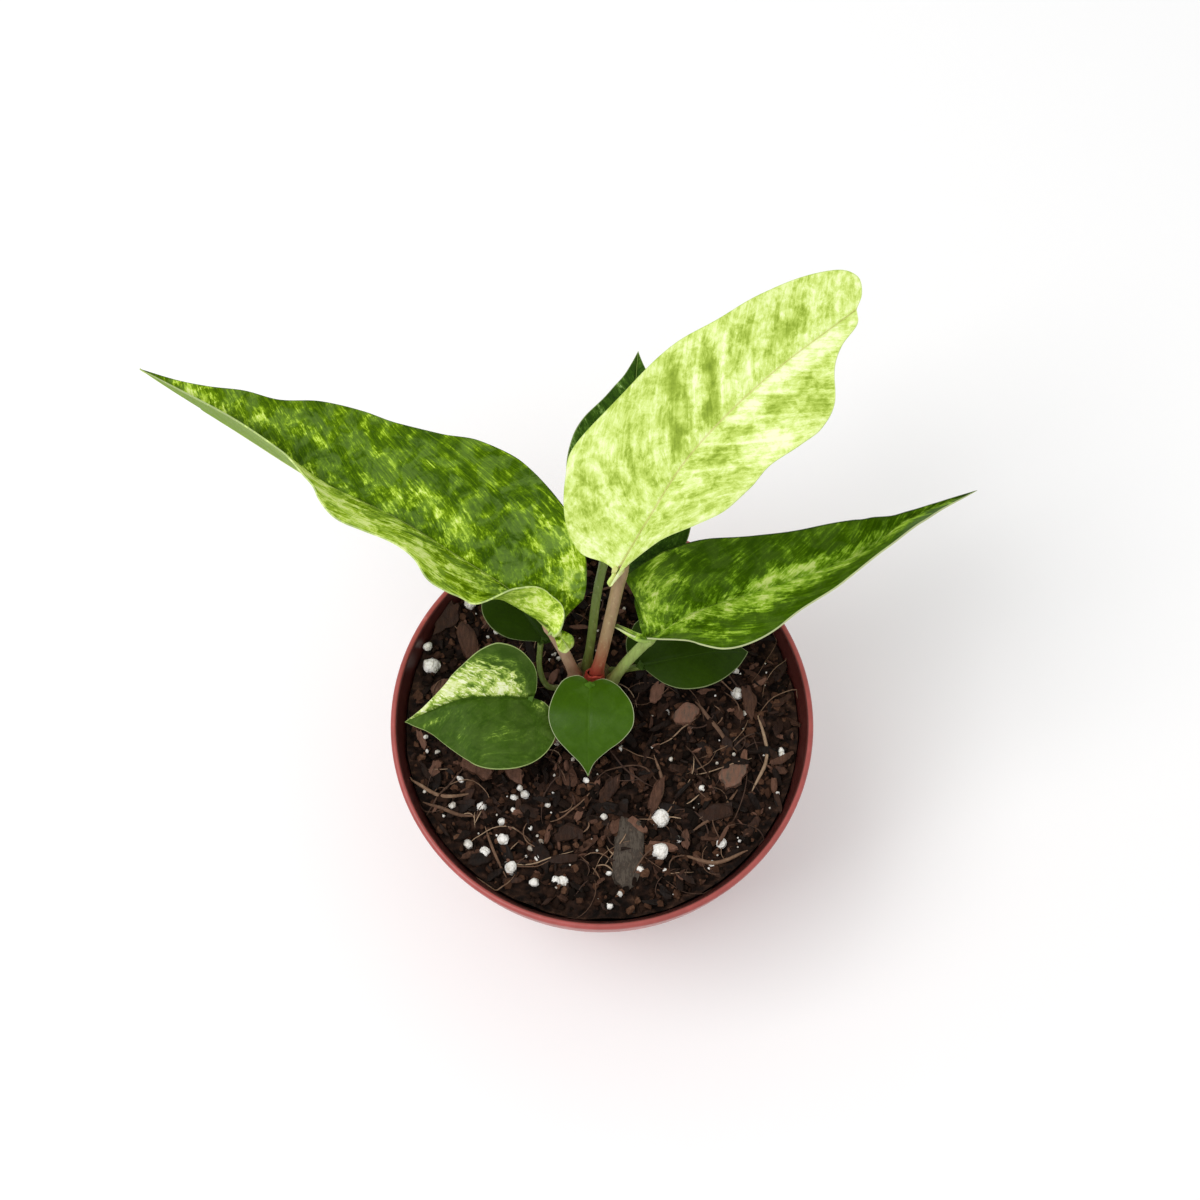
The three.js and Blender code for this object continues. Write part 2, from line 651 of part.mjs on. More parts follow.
// Cuts a stalk clear of its blade, which is moved a gap down and to each side to cut room round itself
function cutClear(solid, blade, { ahead, up }) {
  const aside = new THREE.Vector3().crossVectors(ahead, up);
  const down = up.clone().negate();
  const ways = [up.clone(), down, ahead, ahead.clone().negate(), aside, aside.clone().negate()];
  const moved = ways.map((way) => blade.translate(way.setLength(CLEARANCE).toArray()));
  return moved.reduce((rest, copy) => rest.subtract(copy), solid.subtract(blade));
}

function stalkSolid(leaf, blade, crownSpace) {
  const clear = cutClear(stalkTube(leaf), blade, spineFrame(leaf, 0));
  return largestPiece(clear.subtract(crownSpace).simplify(SMALLEST_EDGE));
}

// A thin collar round the foot of the top leaf's stalk, its slanted mouth highest in front
function sheathSolid(leaves, crownSpace) {
  const leaf = leaves.find(({ name }) => name === 'top');
  const foot = new THREE.Vector3(...leaf.stalk.route[0]);
  const along = stalkPath(leaf).getPoint(SHEATH.lean).sub(foot).setLength(SHEATH.height);
  const path = new THREE.LineCurve3(foot, foot.clone().add(along));
  const collar = toSolid(tube(path, leaf.stalk.radius + GAP + SHEATH.wall, SHEATH.sides, 2));
  const tilt = rad(SHEATH.mouthTilt);
  const mouth = [0, -Math.sin(tilt), -Math.cos(tilt)];
  const reach = foot.y * mouth[1] + SHEATH.mouthZ * mouth[2];
  const clear = leaves.reduce((solid, other) => solid.subtract(stalkTube(other, GAP)), collar);
  return largestPiece(clear.subtract(crownSpace).trimByPlane(mouth, reach));
}

// Assembly

const plant = new THREE.Group();

function addPiece(name, solid, color, roughness) {
  const material = new THREE.MeshStandardMaterial({ color, roughness, metalness: 0 });
  const mesh = new THREE.Mesh(toGeometry(solid), material);
  mesh.name = name;
  plant.add(mesh);
}

addPiece('pot', potSolid(), 0xc8554f, 0.5);
addPiece('soil', soilSolid(), 0x2c2019, 0.95);
addPiece('crown', crownSolid(), 0x6b5a34, 0.7);
const crownSpace = crownSolid(GAP);
const leaves = LEAVES.map(prepare);
addPiece('sheath', sheathSolid(leaves, crownSpace), 0x9c3328, 0.5);
for (const leaf of leaves) {
  const blade = toSolid(bladeGeometry(leaf));
  addPiece(`stalk_${leaf.name}`, stalkSolid(leaf, blade, crownSpace), leaf.stalk.color, 0.5);
  addPiece(`blade_${leaf.name}`, blade, leaf.color, 0.45);
}

export default plant;
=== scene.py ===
"""Looks of a small potted anthurium: finely shaped leaves, stalks, potting mix and nursery pot.

Leaf and soil shapes are worked out in millimetres, as the part's source gives them, and turned into
metres when a mesh is made.
"""
import logging
import math
from collections.abc import Sequence
from dataclasses import dataclass
from enum import Enum

import bpy
import numpy as np
from mathutils import Euler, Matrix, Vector


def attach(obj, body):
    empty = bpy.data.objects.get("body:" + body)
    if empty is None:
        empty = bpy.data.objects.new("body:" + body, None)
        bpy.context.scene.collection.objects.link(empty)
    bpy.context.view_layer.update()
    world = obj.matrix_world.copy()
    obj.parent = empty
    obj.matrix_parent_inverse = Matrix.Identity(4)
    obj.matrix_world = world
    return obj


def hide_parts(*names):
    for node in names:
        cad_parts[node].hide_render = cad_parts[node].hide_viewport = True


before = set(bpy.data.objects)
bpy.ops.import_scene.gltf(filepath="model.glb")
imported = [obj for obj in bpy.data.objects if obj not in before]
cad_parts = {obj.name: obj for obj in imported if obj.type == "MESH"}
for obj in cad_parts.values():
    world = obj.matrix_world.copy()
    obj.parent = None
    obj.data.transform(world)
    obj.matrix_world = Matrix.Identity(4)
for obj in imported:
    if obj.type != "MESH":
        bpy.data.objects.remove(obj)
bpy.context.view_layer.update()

log = logging.getLogger("anthurium")

MM = 0.001
CM = 0.1  # turns mm into the cm that the leaves' patterns are sized in
DELTA = 0.05  # step for slopes, in mm
GAP = 0.3  # clearance between the solids that touch, in mm

Color = tuple[float, float, float]
Stops = tuple[tuple[float, Color], ...]
Points = Sequence[Sequence[float]]
Piece = bpy.types.Object
Material = bpy.types.Material
Socket = bpy.types.NodeSocket


# Colours, from screen values of 0 to 255


def linear(value: float) -> float:
    """Takes the screen's curve off a value of 0 to 1."""
    return value / 12.92 if value <= 0.04045 else ((value + 0.055) / 1.055) ** 2.4


def srgb(red: int, green: int, blue: int) -> Color:
    """Turns a screen colour into a linear one."""
    return linear(red / 255), linear(green / 255), linear(blue / 255)


def stops(*rows: tuple[float, int, int, int]) -> Stops:
    """Turns rows of a place and a screen colour into the stops of a ramp."""
    return tuple((place, srgb(*color)) for place, *color in rows)


# Mesh helpers


def deselect_all() -> None:
    """Leaves nothing selected, so that the next operator acts on its own mesh alone."""
    if bpy.context.mode != "OBJECT":
        bpy.ops.object.mode_set(mode="OBJECT")
    bpy.ops.object.select_all(action="DESELECT")


def activate(piece: Piece) -> None:
    """Makes one piece the only selected and the active one.

    Args:
        piece: The piece that the next operators act on.
    """
    deselect_all()
    piece.select_set(True)
    bpy.context.view_layer.objects.active = piece


def apply_modifiers(piece: Piece) -> None:
    """Applies each modifier of a piece in its order.

    Args:
        piece: The piece with the modifiers.
    """
    activate(piece)
    for modifier in list(piece.modifiers):
        bpy.ops.object.modifier_apply(modifier=modifier.name)


def set_points(piece: Piece, points: np.ndarray) -> None:
    """Moves every vertex of a piece to its place in millimetres."""
    piece.data.vertices.foreach_set("co", (points * MM).astype(np.float32).ravel())
    piece.data.update()


def set_attribute(piece: Piece, name: str, values: np.ndarray) -> None:
    """Stores one number or one vector at each vertex, for the materials to read.

    Args:
        piece: The piece that gets the attribute.
        name: The attribute's name.
        values: An array of n numbers or n by 3 numbers.
    """
    vector = values.ndim == 2
    kind = "FLOAT_VECTOR" if vector else "FLOAT"
    attribute = piece.data.attributes.new(name, kind, "POINT")
    attribute.data.foreach_set("vector" if vector else "value", values.astype(np.float32).ravel())


def grid(name: str, across: int, along: int) -> Piece:
    """Adds a flat grid whose vertices run row by row.

    Args:
        name: The new piece's name.
        across: How many vertices a row has.
        along: How many rows there are.

    Returns:
        The grid, with vertex j of row i at index i * across + j.
    """
    deselect_all()
    bpy.ops.mesh.primitive_grid_add(x_subdivisions=across - 1, y_subdivisions=along - 1, size=2)
    piece = bpy.context.active_object
    piece.name = piece.data.name = name
    return piece


def merge_doubles(piece: Piece, fill: bool = False) -> None:
    """Joins vertices that share a place, and points the faces outwards.

    Args:
        piece: The piece to clean.
        fill: Whether the holes that are left are closed with faces.
    """
    activate(piece)
    bpy.ops.object.mode_set(mode="EDIT")
    bpy.ops.mesh.select_all(action="SELECT")
    bpy.ops.mesh.remove_doubles(threshold=2e-6)
    if fill:
        bpy.ops.mesh.select_all(action="SELECT")
        bpy.ops.mesh.fill_holes(sides=0)
    bpy.ops.mesh.select_all(action="SELECT")
    bpy.ops.mesh.normals_make_consistent(inside=False)
    bpy.ops.object.mode_set(mode="OBJECT")


def smooth(piece: Piece, degrees: float) -> None:
    """Shades a piece smooth, but for edges sharper than an angle."""
    activate(piece)
    bpy.ops.object.shade_smooth_by_angle(angle=math.radians(degrees))


def dressed(piece: Piece, material: Material, degrees: float = 50) -> Piece:
    """Shades a piece smooth and gives it its finish.

    Args:
        piece: The shaped piece.
        material: Its finish.
        degrees: The angle past which an edge stays sharp.

    Returns:
        The same piece.
    """
    smooth(piece, degrees)
    piece.data.materials.append(material)
    return piece


def join(pieces: list[Piece], name: str) -> Piece:
    """Joins several meshes into one piece.

    Args:
        pieces: The meshes, at least one.
        name: The joined piece's name.

    Returns:
        The joined piece.
    """
    activate(pieces[0])
    for piece in pieces:
        piece.select_set(True)
    bpy.ops.object.join()
    pieces[0].name = pieces[0].data.name = name
    return pieces[0]


def hand_over(piece: Piece, node: str) -> Piece:
    """Gives a finished piece its place in the part.

    Args:
        piece: The finished piece.
        node: The solid it stands for.

    Returns:
        The same piece.
    """
    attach(piece, "root")
    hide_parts(node)
    log.info("%s: %d faces, for %s", piece.name, len(piece.data.polygons), node)
    return piece


# Smooth curves through stations, as the solids use them


def by_length(points: Points) -> np.ndarray:
    """Places points at their distance along the straight steps between them.

    Args:
        points: Points in order, of any dimension.

    Returns:
        One row for each point: its distance, then its values.
    """
    values = np.array(points, dtype=float)
    steps = np.linalg.norm(np.diff(values, axis=0), axis=1)
    travelled = np.concatenate([[0.0], np.cumsum(steps)])
    return np.column_stack([travelled, values])


def smooth_at(stations: Points, place: np.ndarray) -> np.ndarray:
    """Reads a smooth curve through stations at several places.

    Args:
        stations: Rows of a place and its values.
        place: The places asked for.

    Returns:
        One row of values for each place.
    """
    table = np.array(stations, dtype=float)
    spots, values = table[:, 0], table[:, 1:]
    count = len(spots)
    asked = np.clip(place, spots[0], spots[-1])
    start = np.clip(np.searchsorted(spots, asked, side="right") - 1, 0, count - 2)
    before = np.maximum(np.arange(count) - 1, 0)
    after = np.minimum(np.arange(count) + 1, count - 1)
    slopes = (values[after] - values[before]) / (spots[after] - spots[before])[:, None]
    span = (spots[start + 1] - spots[start])[:, None]
    t = (asked - spots[start])[:, None] / span
    bend = t * t * (3 - 2 * t)
    rise = t * (1 - t) * ((1 - t) * slopes[start] - t * slopes[start + 1]) * span
    return values[start] + (values[start + 1] - values[start]) * bend + rise


def hills(x: np.ndarray, y: np.ndarray, seed: int, size: float) -> np.ndarray:
    """Gives smooth seeded unevenness from crossed waves of three sizes, each half the last.

    Args:
        x: First coordinates, in mm.
        y: Second coordinates, in mm.
        seed: Chooses the pattern.
        size: The length of the largest waves, in mm.

    Returns:
        Heights of about -1 to 1.
    """
    chance = np.random.default_rng(seed)
    waves = 5
    total = np.zeros_like(x)
    for share in (1, 2, 4):
        for _ in range(waves):
            turn, shift = chance.uniform(0, 2 * math.pi, 2)
            stretch = chance.uniform(0.7, 1.4) * 2 * math.pi / (size / share)
            total += np.sin((x * math.cos(turn) + y * math.sin(turn)) * stretch + shift) / share
    return total / waves


# Rolled shapes


def unit(vectors: np.ndarray) -> np.ndarray:
    """Brings each row of an array to a length of 1."""
    return vectors / np.linalg.norm(vectors, axis=1)[:, None]


def around(corners: int) -> np.ndarray:
    """Gives the angles of a ring whose last corner meets its first."""
    return np.linspace(0, 2 * math.pi, corners)


def turned(
    name: str, wide: np.ndarray, z: np.ndarray, x: np.ndarray | float = 0, y: np.ndarray | float = 0
) -> Piece:
    """Rolls a grid round an upright line.

    Args:
        name: The piece's name.
        wide: How far out each corner lies, with one row for each ring, in mm.
        z: The corners' heights, or a column with one for each ring.
        x: Where the line stands, for all the corners or for each.
        y: The same, the other way.

    Returns:
        The rolled mesh, whose seam and ends are still open.
    """
    rings, corners = wide.shape
    angle = around(corners)
    piece = grid(name, corners, rings)
    places = np.broadcast_arrays(x + wide * np.cos(angle), y + wide * np.sin(angle), z)
    set_points(piece, np.stack(places, axis=2).reshape(-1, 3))
    return piece


def tube(
    name: str, centre: np.ndarray, radius: np.ndarray, aside: Color, mark: str, values: np.ndarray
) -> Piece:
    """Rolls a grid round a run of points and closes its seam and ends.

    Args:
        name: The tube's name.
        centre: The points along its middle, in mm.
        radius: How far out each corner lies, with one row for each ring, in mm.
        aside: A direction that the run never takes.
        mark: The name of an attribute.
        values: The attribute's value at each ring.

    Returns:
        The tube's mesh.
    """
    rings, corners = radius.shape
    piece = grid(name, corners, rings)
    ahead = unit(np.gradient(centre, axis=0))
    first = unit(np.cross(ahead, np.array(aside, dtype=float)))
    second = np.cross(first, ahead)
    angle = around(corners)[None, :, None]
    ring = np.cos(angle) * first[:, None, :] + np.sin(angle) * second[:, None, :]
    set_points(piece, (centre[:, None, :] + ring * radius[:, :, None]).reshape(-1, 3))
    set_attribute(piece, mark, np.repeat(values, corners))
    merge_doubles(piece, fill=True)
    return piece


# Materials


class Nodes:
    """A short hand for building one material's node tree. Its methods return output sockets."""

    def __init__(self, name: str) -> None:
        """Starts a material with a lone principled shader.

        Args:
            name: The material's name.
        """
        self.material = bpy.data.materials.new(name)
        self.material.use_nodes = True
        self.tree = self.material.node_tree
        self.shader = self.tree.nodes["Principled BSDF"]

    def feed(self, socket: Socket, value: object) -> None:
        """Links a socket to another node's output, or sets it to a constant.

        Args:
            socket: The input.
            value: An output socket, a number, or a vector or colour of three numbers.
        """
        if isinstance(value, Socket):
            self.tree.links.new(value, socket)
        elif isinstance(value, tuple) and socket.type == "RGBA":
            socket.default_value = (*value, 1)
        else:
            socket.default_value = value

    def add(
        self, kind: str, inputs: dict[int | str, object], output: int | str = 0, **settings: str
    ) -> Socket:
        """Adds a node.

        Args:
            kind: The node's type.
            inputs: What is fed to each input.
            output: The output that is asked for.
            **settings: The node's own properties.

        Returns:
            The output socket.
        """
        node = self.tree.nodes.new(kind)
        for key, setting in settings.items():
            setattr(node, key, setting)
        for key, value in inputs.items():
            self.feed(node.inputs[key], value)
        return node.outputs[output]

    def number(self, name: str) -> Socket:
        """Reads a number that the vertices hold."""
        return self.add("ShaderNodeAttribute", {}, "Fac", attribute_name=name)

    def vector(self, name: str) -> Socket:
        """Reads a vector that the vertices hold."""
        return self.add("ShaderNodeAttribute", {}, "Vector", attribute_name=name)

    def place(self) -> Socket:
        """Reads the Object coordinates."""
        return self.add("ShaderNodeTexCoord", {}, "Object")

    def scaled(self, vector: Socket, scale: Color, shift: Color = (0, 0, 0)) -> Socket:
        """Stretches and moves coordinates."""
        return self.add("ShaderNodeMapping", {"Vector": vector, "Scale": scale, "Location": shift})

    def part(self, vector: Socket, axis: str) -> Socket:
        """Takes the X, Y or Z out of coordinates."""
        return self.add("ShaderNodeSeparateXYZ", {0: vector}, axis)

    def noise(
        self, vector: Socket, scale: float, detail: float, rough: float = 0.55, warp: float = 0
    ) -> Socket:
        """Adds a noise of about 0 to 1."""
        inputs = {"Vector": vector, "Scale": scale, "Detail": detail, "Roughness": rough, "Distortion": warp}
        return self.add("ShaderNodeTexNoise", inputs)

    def cells(self, vector: Socket, scale: float, feature: str = "F1") -> Socket:
        """Adds a pattern of cells, as a distance in each."""
        inputs = {"Vector": vector, "Scale": scale}
        return self.add("ShaderNodeTexVoronoi", inputs, "Distance", feature=feature)

    def math(self, operation: str, first: object, second: object) -> Socket:
        """Works on two values."""
        return self.add("ShaderNodeMath", {0: first, 1: second}, operation=operation)

    def centred(self, value: Socket) -> Socket:
        """Takes a half off a noise, so that it lies about 0."""
        return self.math("SUBTRACT", value, 0.5)

    def total(self, *terms: tuple[object, float]) -> Socket:
        """Adds up values, each times its weight.

        Args:
            *terms: The values and their weights.

        Returns:
            The sum.
        """
        so_far: object = 0.0
        for value, weight in terms:
            inputs = {0: value, 1: weight, 2: so_far}
            so_far = self.add("ShaderNodeMath", inputs, operation="MULTIPLY_ADD")
        return so_far

    def span(
        self, value: object, low: float, high: float, to_low: float = 0.0, to_high: float = 1.0
    ) -> Socket:
        """Maps a range smoothly onto another and clamps it there."""
        inputs = {"Value": value, "From Min": low, "From Max": high, "To Min": to_low, "To Max": to_high}
        return self.add("ShaderNodeMapRange", inputs, "Result", interpolation_type="SMOOTHSTEP")

    def ramp(self, value: object, colors: Stops) -> Socket:
        """Turns a value into a colour.

        Args:
            value: A value of 0 to 1.
            colors: The ramp's places and their colours.

        Returns:
            The colour.
        """
        color = self.add("ShaderNodeValToRGB", {0: value})
        elements = color.node.color_ramp.elements
        while len(elements) < len(colors):
            elements.new(1.0)
        for element, (spot, shade) in zip(elements, colors, strict=True):
            element.position = spot
            element.color = (*shade, 1)
        return color

    def mix(self, factor: object, first: object, second: object) -> Socket:
        """Mixes two colours by a factor."""
        return self.add("ShaderNodeMix", {0: factor, 6: first, 7: second}, 2, data_type="RGBA")

    def bump(self, height: Socket, strength: float, depth: float) -> Socket:
        """Tilts the normal by a height that is worth a depth in mm."""
        return self.add("ShaderNodeBump", {"Height": height, "Strength": strength, "Distance": depth * MM})

    def finish(self, color: object, rough: object, normal: Socket | None = None, **plain: object) -> Material:
        """Feeds the shader.

        Args:
            color: The base colour.
            rough: The roughness.
            normal: The bumped normal, if any.
            **plain: Constants for the shader's own sockets, with _ for a space.

        Returns:
            The finished material.
        """
        self.feed(self.shader.inputs["Base Color"], color)
        self.feed(self.shader.inputs["Roughness"], rough)
        if normal is not None:
            self.feed(self.shader.inputs["Normal"], normal)
        for key, value in plain.items():
            self.shader.inputs[key.replace("_", " ")].default_value = value
        return self.material


@dataclass(frozen=True)
class LeafFinish:
    """How one blade is coloured: its tone picks a colour from a ramp, from deep green to cream.

    The streaks, mottles, flecks and clouds are noises that move the tone, more so where it is pale:
    calm is their strength where it is deepest. Sparse noises are rare and pale on a plain ground.
    """

    ramp: Stops
    streak: float = 0.36
    mottle: float = 0.3
    fleck: float = 0.2
    cloud: float = 0.3
    sparse: float = 0.0
    calm: float = 0.45
    streak_scale: float = 4.6
    mottle_scale: float = 3.1
    # painted sheen: pale clouds of a painted reflection, given as a strength and a colour
    painted_sheen: float = 0.0
    painted_sheen_color: Color = srgb(150, 182, 100)
    rib: Color = srgb(170, 195, 105)
    rib_width: float = 0.35
    rib_mix: float = 0.4
    vein_tone: float = 0.05
    # margin colours of the halves: pale for the real margin, dark for painted shade where the edge curls down
    margin_and_shade_left: Color = srgb(196, 212, 140)
    margin_and_shade_right: Color = srgb(196, 212, 140)
    margin_mix: float = 0.5
    margin_width: float = 0.2
    under: Color = srgb(125, 150, 75)
    under_mix: float = 0.6
    shine: float = 0.06
    rough: float = 0.45
    seed: float = 0.0

    def tone(self, nodes: Nodes) -> tuple[Socket, Socket, Socket]:
        """Builds the tone from the painted tone and the noises, which follow the veins.

        Args:
            nodes: The material being built.

        Returns:
            The tone, the streak noise and the fleck noise.
        """
        flat = nodes.scaled(nodes.vector("flat"), (1, 1, 1), (self.seed, self.seed, 0))
        ray = nodes.vector("ray")
        combed = nodes.scaled(ray, (self.streak_scale, 0.8, 1), (self.seed, 0, 0))
        streak = nodes.noise(combed, 2.6, 6, 0.7, 0.6)
        mottle = nodes.noise(flat, self.mottle_scale, 6, 0.7, 0.4)
        cloud = nodes.noise(flat, 0.9, 2, 0.5, 0.3)
        fleck = nodes.noise(nodes.scaled(ray, (6, 2.6, 1), (0, self.seed, 0)), 3.6, 4, 0.68, 0.5)
        low, high = 0.34 + 0.12 * self.sparse, 0.66 + 0.05 * self.sparse
        least, most = -0.5 + 0.3 * self.sparse, 0.5 + 0.3 * self.sparse
        pattern = nodes.total(
            (nodes.span(streak, low, high, least, most), self.streak),
            (nodes.span(mottle, low, high, least, most), self.mottle),
            (nodes.centred(cloud), self.cloud),
            (nodes.span(fleck, 0.5, 0.62, -0.3, 0.7), self.fleck),
            (nodes.number("vein"), self.vein_tone),
        )
        painted = nodes.number("tone")
        lively = nodes.span(painted, 0.1, 0.5, self.calm, 1.0)
        return nodes.math("ADD", painted, nodes.math("MULTIPLY", pattern, lively)), streak, fleck

    def paint_sheen(self, nodes: Nodes, color: Socket) -> Socket:
        """Lays a pale painted sheen over the colour in clouds, thickest near the joint: a painted reflection
        of the bright sky.

        Args:
            nodes: The material being built.
            color: The colour so far.

        Returns:
            The colour with the painted sheen, or the same one where the blade has none.
        """
        if not self.painted_sheen:
            return color
        flat = nodes.scaled(nodes.vector("flat"), (1, 1, 1), (3, self.seed, 0))
        cloud = nodes.span(nodes.noise(flat, 1.9, 4, 0.6, 0.8), 0.44, 0.6, 0, self.painted_sheen)
        near = nodes.span(nodes.part(nodes.vector("ray"), "Z"), 0.12, 0.45, 1.0, 0.35)
        return nodes.mix(nodes.math("MULTIPLY", cloud, near), color, self.painted_sheen_color)

    def margin(self, nodes: Nodes, color: Socket) -> Socket:
        """Draws the thin margin, whose colour may differ between the two halves. A pale colour is the real
        margin; a dark one is painted shade along an edge that curls down.

        Args:
            nodes: The material being built.
            color: The colour so far.

        Returns:
            The colour with the margin.
        """
        half = nodes.span(nodes.part(nodes.vector("flat"), "Y"), -0.01, 0.01)
        rim = nodes.mix(half, self.margin_and_shade_left, self.margin_and_shade_right)
        width = self.margin_width
        near = nodes.span(nodes.number("edge_gap"), width, width * 0.3, 0, self.margin_mix)
        return nodes.mix(near, color, rim)

    def top_material(self, name: str) -> Material:
        """Builds the upper face's finish.

        Args:
            name: The material's name.

        Returns:
            The finish.
        """
        nodes = Nodes(name)
        tone, streak, fleck = self.tone(nodes)
        # the ramp's colour with a painted sheen laid over it
        color = self.paint_sheen(nodes, nodes.ramp(tone, self.ramp))
        width = self.rib_width
        near = nodes.span(nodes.number("rib_gap"), width, width * 0.4, 0, self.rib_mix)
        color = self.margin(nodes, nodes.mix(near, color, self.rib))
        cells = nodes.cells(nodes.vector("flat"), 16, "DISTANCE_TO_EDGE")
        relief = nodes.total((streak, 0.6), (fleck, 0.3), (nodes.span(cells, 0, 0.12), 0.25))
        rough = nodes.span(fleck, 0.3, 0.7, self.rough - 0.06, self.rough + 0.08)
        return nodes.finish(color, rough, nodes.bump(relief, 0.3, 0.2), Specular_IOR_Level=self.shine)

    def under_material(self, name: str) -> Material:
        """Builds the lower face's finish: paler, matt, with the same pattern showing through.

        Args:
            name: The material's name.

        Returns:
            The finish.
        """
        nodes = Nodes(name)
        tone, streak, fleck = self.tone(nodes)
        plain = nodes.math("MULTIPLY", nodes.number("plain"), self.under_mix)
        color = nodes.mix(plain, nodes.ramp(tone, self.ramp), self.under)
        near = nodes.span(nodes.number("rib_gap"), 0.9, 0.3, 0, 0.6)
        color = self.margin(nodes, nodes.mix(near, color, self.rib))
        relief = nodes.total((streak, 0.5), (fleck, 0.5))
        rough = nodes.span(fleck, 0.2, 0.8, 0.5, 0.65)
        return nodes.finish(color, rough, nodes.bump(relief, 0.3, 0.2), Specular_IOR_Level=0.15)


# Leaves


@dataclass(frozen=True)
class Half:
    """One half of a blade: its flat edge, and how it lifts, curls and ripples on its way out.

    The lift and the curl per 10 mm are in degrees, at shares of the leaf's length. The ripple has a
    height in mm at 15 mm out, a count of waves and a phase.
    """

    edge: Points
    lift: Points = ((0, 5), (1, 5))
    curl: Points = ((0, 0), (1, 0))
    ripple: tuple[float, float, float] = (0.2, 2, 0)

    def angles(self, share: np.ndarray) -> tuple[np.ndarray, np.ndarray]:
        """Gives the lift, and the curl per mm, in radians at shares of the leaf's length."""
        lift, curl = (np.radians(smooth_at(table, share)[:, 0]) for table in (self.lift, self.curl))
        return lift, curl / 10


@dataclass(frozen=True)
class Patch:
    """A soft spot on a blade that is paler or deeper than the rest.

    The spot is drawn flat, in mm: along the midrib, out from it (negative for the left half), half
    its length and half its width, its turn in degrees, and how far it moves the tone. A side of -1 or
    1 keeps it to the left or the right half.
    """

    along: float
    out: float
    length: float
    width: float
    turn: float
    tone: float
    side: int = 0

    def paint(self, along: np.ndarray, out: np.ndarray) -> np.ndarray:
        """Gives how far the spot moves the tone at flat places.

        Args:
            along: Distances along the midrib, in mm.
            out: Distances out from it, negative for the left half.

        Returns:
            What is added to the tone.
        """
        turn = math.radians(self.turn)
        x, y = along - self.along, out - self.out
        u = (x * math.cos(turn) + y * math.sin(turn)) / self.length
        v = (y * math.cos(turn) - x * math.sin(turn)) / self.width
        here = out * self.side > 0 if self.side else 1.0
        return self.tone * np.exp(-((u * u + v * v) ** 1.5)) * here


def patches(*rows: tuple[float, ...]) -> tuple[Patch, ...]:
    """Turns rows of a patch's values into patches."""
    return tuple(Patch(*row) for row in rows)


@dataclass(frozen=True)
class Petiole:
    """A leaf's stalk: its route from the crown, its radius in mm, its slot and its two colours.

    The waist, the swells at both ends and the groove are shares of the radius. Its end lies sunk
    under the midrib, in mm.
    """

    route: Points
    radius: float
    slot: str
    low: Color
    high: Color
    rings: int = 47
    corners: int = 21
    waist: float = 0.94
    foot_swell: float = 0.32
    neck_swell: float = 0.14
    groove: float = 0.07
    sunk: float = 0.55


@dataclass
class Sheet:
    """A blade's grid before it is a mesh, with a value or a row for each vertex.

    row runs from 0 at the joint to 1 at the tip and reach from 0 on the midrib to 1 at the edge. side
    is -1 on the left half and 1 on the right. flat holds the place along the midrib, the place out
    from it and where its row starts on the midrib. wide is how far out the edge lies.
    """

    row: np.ndarray
    reach: np.ndarray
    side: np.ndarray
    flat: np.ndarray
    wide: np.ndarray
    points: np.ndarray
    normal: np.ndarray

    @property
    def along(self) -> np.ndarray:
        """The places along the midrib."""
        return self.flat[:, 0]

    @property
    def out(self) -> np.ndarray:
        """The distances out from the midrib, on both halves."""
        return np.abs(self.flat[:, 1])

    @property
    def rib_gap(self) -> np.ndarray:
        """The distances from the midrib, in shares of its width, which tapers to the tip."""
        return self.out / (0.35 + 0.65 * (1 - self.row))


